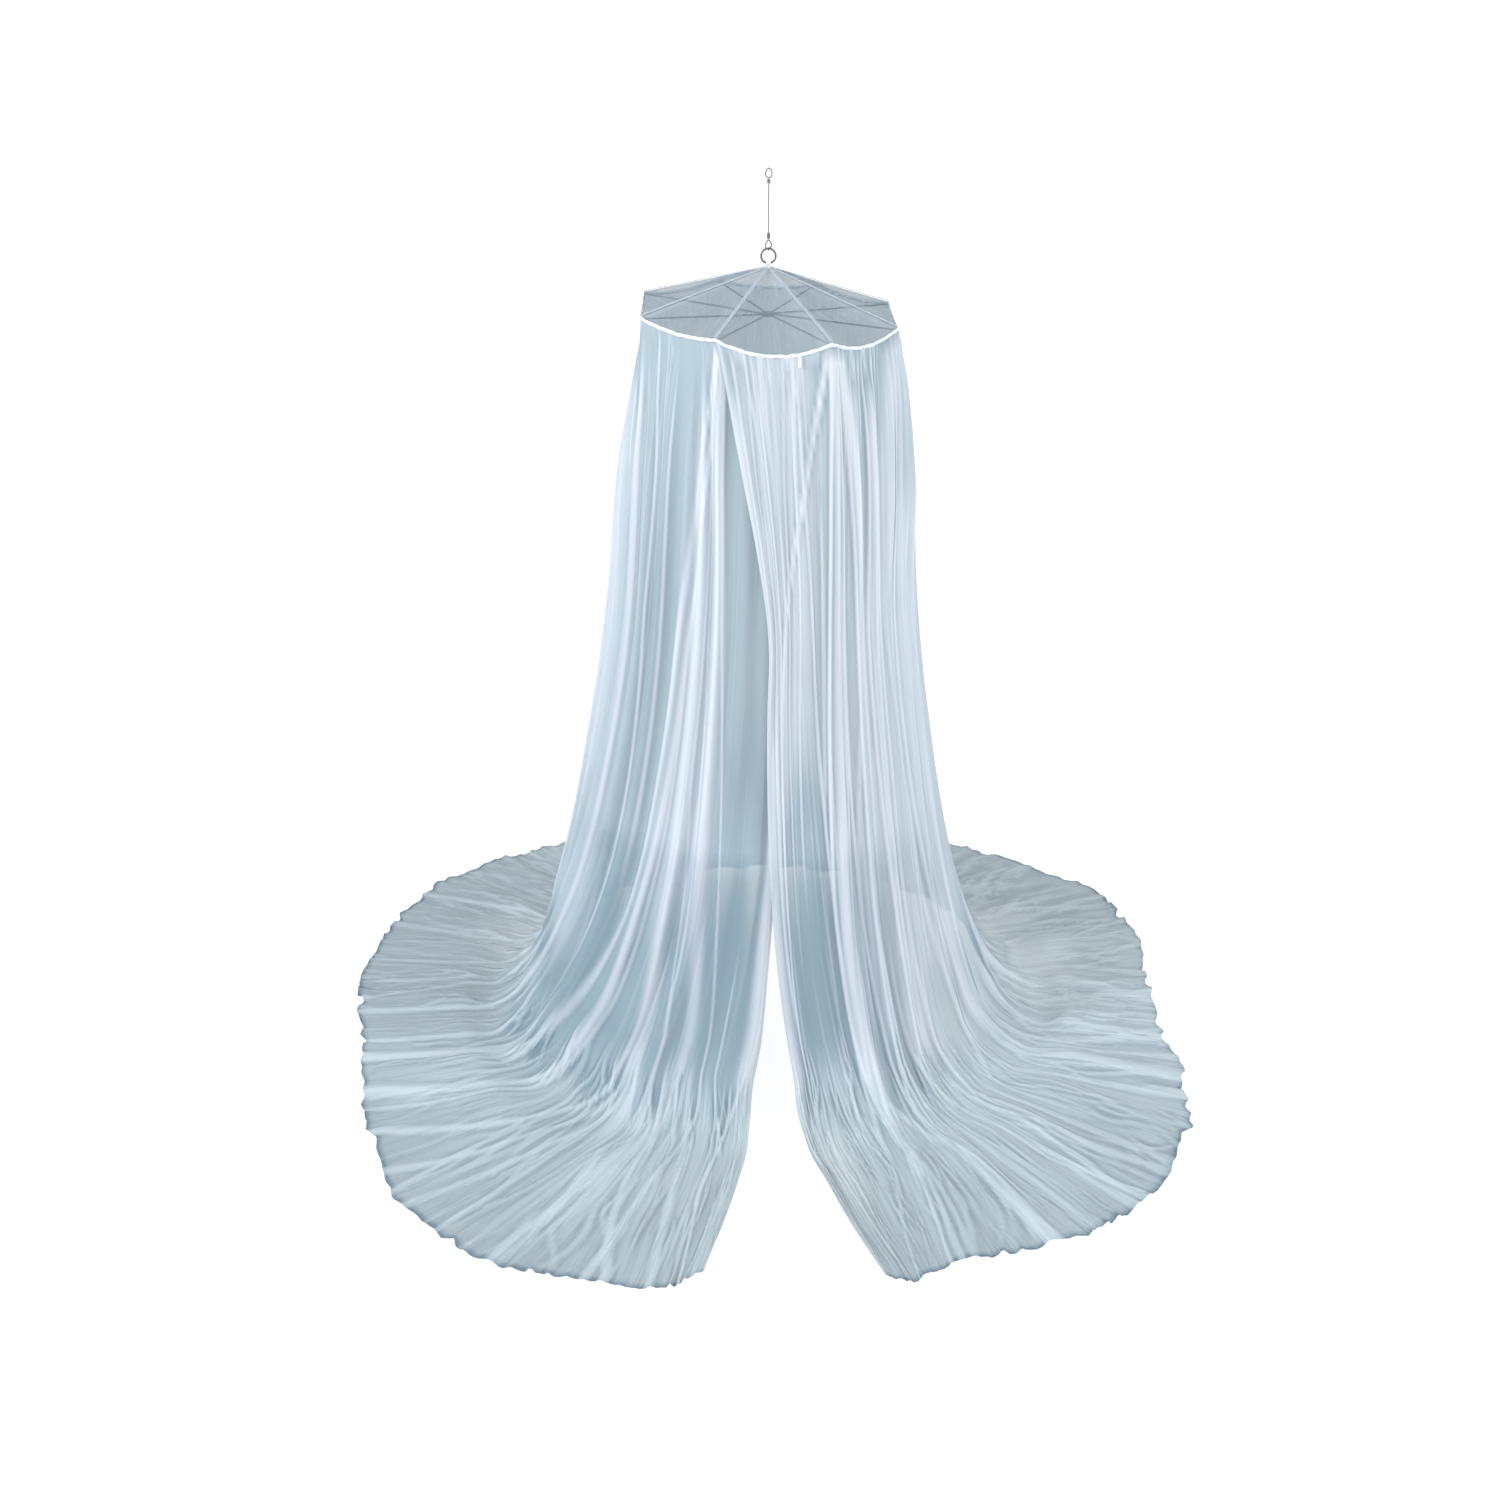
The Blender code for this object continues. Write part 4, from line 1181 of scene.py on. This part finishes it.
def add_eye(tape):
    """The folded tape at the apex: up one side of the ring's wire, over it and down to the stitches."""
    base = APEX_HEIGHT + TOUCH_GAP - HOOK_HEIGHT
    half = np.array(EYE_FOLD)
    turn = np.concatenate([half * (-1, 1), ((0.0, EYE_TOP),), half[::-1]])
    fine = np.linspace(0, len(turn) - 1, 49)
    out, rise = (soften(np.interp(fine, np.arange(len(turn)), column), 2) for column in turn.T)
    path = np.stack([0 * fine, out, base + rise], axis=1)
    across = np.tile((1.0, 0.0, 0.0), (len(path), 1))
    up = np.cross(across, np.gradient(path, axis=0))
    up *= -1 / np.linalg.norm(up, axis=1, keepdims=True)
    widths = EYE_WIDTH + 0.0012 * np.abs(np.linspace(-1, 1, len(path)))
    obj = add_band("folded_eye", path, across, up, widths, EYE_THICKNESS, tape)
    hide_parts("ring_eye")
    return obj


def stitch_tree():
    """The rule for a row of stitches: short threads laid end to end along every line that it is given."""
    tree = bpy.data.node_groups.new("row_of_stitches", "GeometryNodeTree")
    tree.interface.new_socket("Lines", in_out="INPUT", socket_type="NodeSocketGeometry")
    sizes = {"Spacing": STITCH_SPACING, "Stitch Length": STITCH_LENGTH, "Thread": STITCH_THREAD}
    for title, value in sizes.items():
        socket = tree.interface.new_socket(title, in_out="INPUT", socket_type="NodeSocketFloat")
        socket.default_value = value
    tree.interface.new_socket("Finish", in_out="INPUT", socket_type="NodeSocketMaterial")
    tree.interface.new_socket("Stitches", in_out="OUTPUT", socket_type="NodeSocketGeometry")

    def node(kind, values=(), **settings):
        made = tree.nodes.new(kind)
        for title, value in settings.items():
            setattr(made, title, value)
        for title, value in dict(values).items():
            if isinstance(value, bpy.types.NodeSocket):
                tree.links.new(value, made.inputs[title])
            else:
                made.inputs[title].default_value = value
        return made

    given = node("NodeGroupInput").outputs
    lines = node("GeometryNodeMeshToCurve", {"Mesh": given["Lines"]})
    spacing = {"Curve": lines.outputs[0], "Length": given["Spacing"]}
    spots = node("GeometryNodeCurveToPoints", spacing, mode="LENGTH")
    thread = node("GeometryNodeMeshUVSphere", {"Segments": 6, "Rings": 4, "Radius": 0.5})
    thickness = given["Thread"]
    size = node("ShaderNodeCombineXYZ", {"X": thickness, "Y": thickness, "Z": given["Stitch Length"]})
    lean = node("FunctionNodeRandomValue", {"Min": -0.10, "Max": 0.10, "Seed": 5}, data_type="FLOAT")
    turn = node("FunctionNodeAlignRotationToVector", {"Vector": spots.outputs["Tangent"]}, axis="Z")
    tilt = node("ShaderNodeCombineXYZ", {"X": lean.outputs[1], "Y": lean.outputs[1]})
    leaning = {"Rotation": turn.outputs[0], "Rotate By": tilt.outputs[0]}
    leaned = node("FunctionNodeRotateRotation", leaning, rotation_space="LOCAL")
    copies = {"Points": spots.outputs[0], "Instance": thread.outputs[0]}
    copies |= {"Rotation": leaned.outputs[0], "Scale": size.outputs[0]}
    laid = node("GeometryNodeInstanceOnPoints", copies)
    real = node("GeometryNodeRealizeInstances", {"Geometry": laid.outputs[0]})
    dressed = node("GeometryNodeSetMaterial", {"Geometry": real.outputs[0], "Material": given["Finish"]})
    node("NodeGroupOutput", {"Stitches": dressed.outputs[0]})
    return tree


def add_stitches(name, lines, thread, tree):
    """Rows of stitches along these lines of points, as a plain mesh."""
    edges = []
    for line in lines:
        start = edges[-1][1] + 1 if edges else 0
        edges += [(start + i, start + i + 1) for i in range(len(line) - 1)]
    guide = bpy.data.meshes.new(name + "_lines")
    guide.from_pydata(np.concatenate(lines).tolist(), edges, [])
    sewn = bpy.data.objects.new(name + "_lines", guide)
    bpy.context.scene.collection.objects.link(sewn)
    rule = sewn.modifiers.new("stitches", "NODES")
    rule.node_group = tree
    for item in tree.interface.items_tree:
        if item.name == "Finish":
            rule[item.identifier] = thread
        elif item.name == "Spacing":
            rule[item.identifier] = STITCH_SPACING
    graph = bpy.context.evaluated_depsgraph_get()
    mesh = bpy.data.meshes.new_from_object(sewn.evaluated_get(graph))
    bpy.data.objects.remove(sewn)
    mesh.name = name
    mesh.shade_smooth()
    obj = bpy.data.objects.new(name, mesh)
    bpy.context.scene.collection.objects.link(obj)
    return obj


def add_rim_stitches(thread, tree):
    """Two rows round the rim's binding."""
    path, outward, _ = rim_line()
    rows = [path + outward * TAPE_THICKNESS + level * UP for level in STITCH_ROWS]
    return add_stitches("rim_stitches", [np.concatenate([row, row[:1]]) for row in rows], thread, tree)


def add_seam_stitches(thread, tree):
    """Two rows down each seam of the roof, and one across each foot of the eye's folded tape."""
    lines = []
    for corner in CORNERS:
        path, side, up = ridge_line(corner)
        lines += [path + side * across + up * TAPE_THICKNESS for across in STITCH_ROWS]
    height = APEX_HEIGHT + TOUCH_GAP - HOOK_HEIGHT + 0.0026
    for front in (-0.0018, 0.0018):
        lines.append(np.array([(x, front, height) for x in np.linspace(-0.0048, 0.0048, 12)]))
    return add_stitches("seam_stitches", lines, thread, tree)


def add_camera():
    """A camera a little above the rim's height, looking down at the canopy as the photograph does."""
    camera = bpy.data.objects.new("camera", bpy.data.cameras.new("camera"))
    camera.data.sensor_width = 36
    camera.data.lens = 36 * CAMERA_FOCUS / PHOTO_WIDTH
    camera.data.clip_end = 60
    camera.location = CAMERA_PLACE
    camera.rotation_euler = (math.radians(90 - CAMERA_DIP), 0, 0)
    bpy.context.scene.collection.objects.link(camera)
    bpy.context.scene.camera = camera


class Surround(Finish):
    """The light that comes from all round, worked out from its direction."""

    def __init__(self, name):
        self.world = bpy.data.worlds.new(name)
        self.world.use_nodes = True
        self.tree = self.world.node_tree
        self.shader = self.tree.nodes["Background"]


def light_all_round():
    """Soft light from every side, stronger from low down than from overhead."""
    surround = Surround("studio")
    direction = surround.add("ShaderNodeTexCoord", {}, {}, "Generated")
    height = surround.add("ShaderNodeSeparateXYZ", {}, {0: direction}, "Z")
    surround.drive("Color", (1, 1, 1, 1))
    surround.drive("Strength", 1.84 - 1.48 * height.size())
    bpy.context.scene.world = surround.world


def add_room():
    """A white floor lit from within, white walls all round, and soft light from the upper left."""
    glow = {"Roughness": 0.9, "Emission Color": (1, 1, 1, 1)}
    dim = {**glow, "Base Color": (0.2, 0.2, 0.2, 1), "Emission Strength": 0.90}
    bright = {**glow, "Base Color": (0.02, 0.02, 0.02, 1), "Emission Strength": 1.0}
    sides = ((-1, -1), (1, -1), (1, 1), (-1, 1))
    corners = [(FLOOR_HALF_WIDTH * x, FLOOR_HALF_WIDTH * y, -HOOK_HEIGHT) for x, y in sides]
    floor = mesh_object("studio_floor", corners, [(0, 1, 2, 3)], Finish("studio_floor", dim).material)
    angle = full_turn(ROOM_SIDES)
    circle = ROOM_RADIUS * np.stack([np.cos(angle), np.sin(angle), 0 * angle], axis=-1)
    rings = np.array([circle + height * UP for height in ROOM_HEIGHTS])
    faces = grid_faces(2, ROOM_SIDES, closed=True) + [tuple(range(ROOM_SIDES, 2 * ROOM_SIDES))]
    walls = mesh_object("studio_paper", rings, faces, Finish("studio_paper", bright).material)
    walls.visible_diffuse = False
    walls.visible_glossy = False
    walls.visible_shadow = False
    light_all_round()
    for name, (spot, power, size) in LAMPS.items():
        light = bpy.data.objects.new(name, bpy.data.lights.new(name, "AREA"))
        light.data.energy = power
        light.data.size = size
        light.location = spot
        aim = Vector(LAMP_AIM) - Vector(spot)
        light.rotation_euler = aim.to_track_quat("-Z", "Y").to_euler()
        bpy.context.scene.collection.objects.link(light)


def dress_node(name, material):
    """Gives a solid that stays in sight its finish."""
    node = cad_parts[name]
    node.data.materials.clear()
    node.data.materials.append(material)


def main():
    add_camera()
    cord = twisted_cord()
    add_hanging(cord, plain_steel())
    net = sheer_net("sheer_net", 0.76)
    tape = woven_tape("woven_tape", (0.54, 0.63, 0.70, 1), (0.76, 0.82, 0.88, 1), 1.0)
    seam = woven_tape("seam_binding", (0.38, 0.47, 0.56, 1), (0.57, 0.65, 0.73, 1), 0.72)
    skirt = add_skirt(net)
    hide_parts("net_skirt")
    roof = add_roof(sheer_net("roof_net", 0.485))
    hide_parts("roof_cloth")
    thread = sewing_thread()
    rule = stitch_tree()
    rim_trims = [add_rim_binding(tape), add_tab(tape), add_rim_stitches(thread, rule)]
    roof_trims = [add_ridge_binding(number, corner, seam) for number, corner in enumerate(CORNERS, 1)]
    roof_trims += [add_eye(tape), add_seam_stitches(thread, rule)]
    for piece in [skirt, roof]:
        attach(piece, "root")
    for piece in rim_trims + roof_trims:
        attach(piece, "root")
    rod = coated_rod()
    for number in range(1, len(CORNERS) + 1):
        dress_node(f"spreader_arm_{number}", rod)
    dress_node("spreader_hub", moulded_plastic())
    add_room()
    bpy.context.scene.view_settings.view_transform = "Standard"


main()
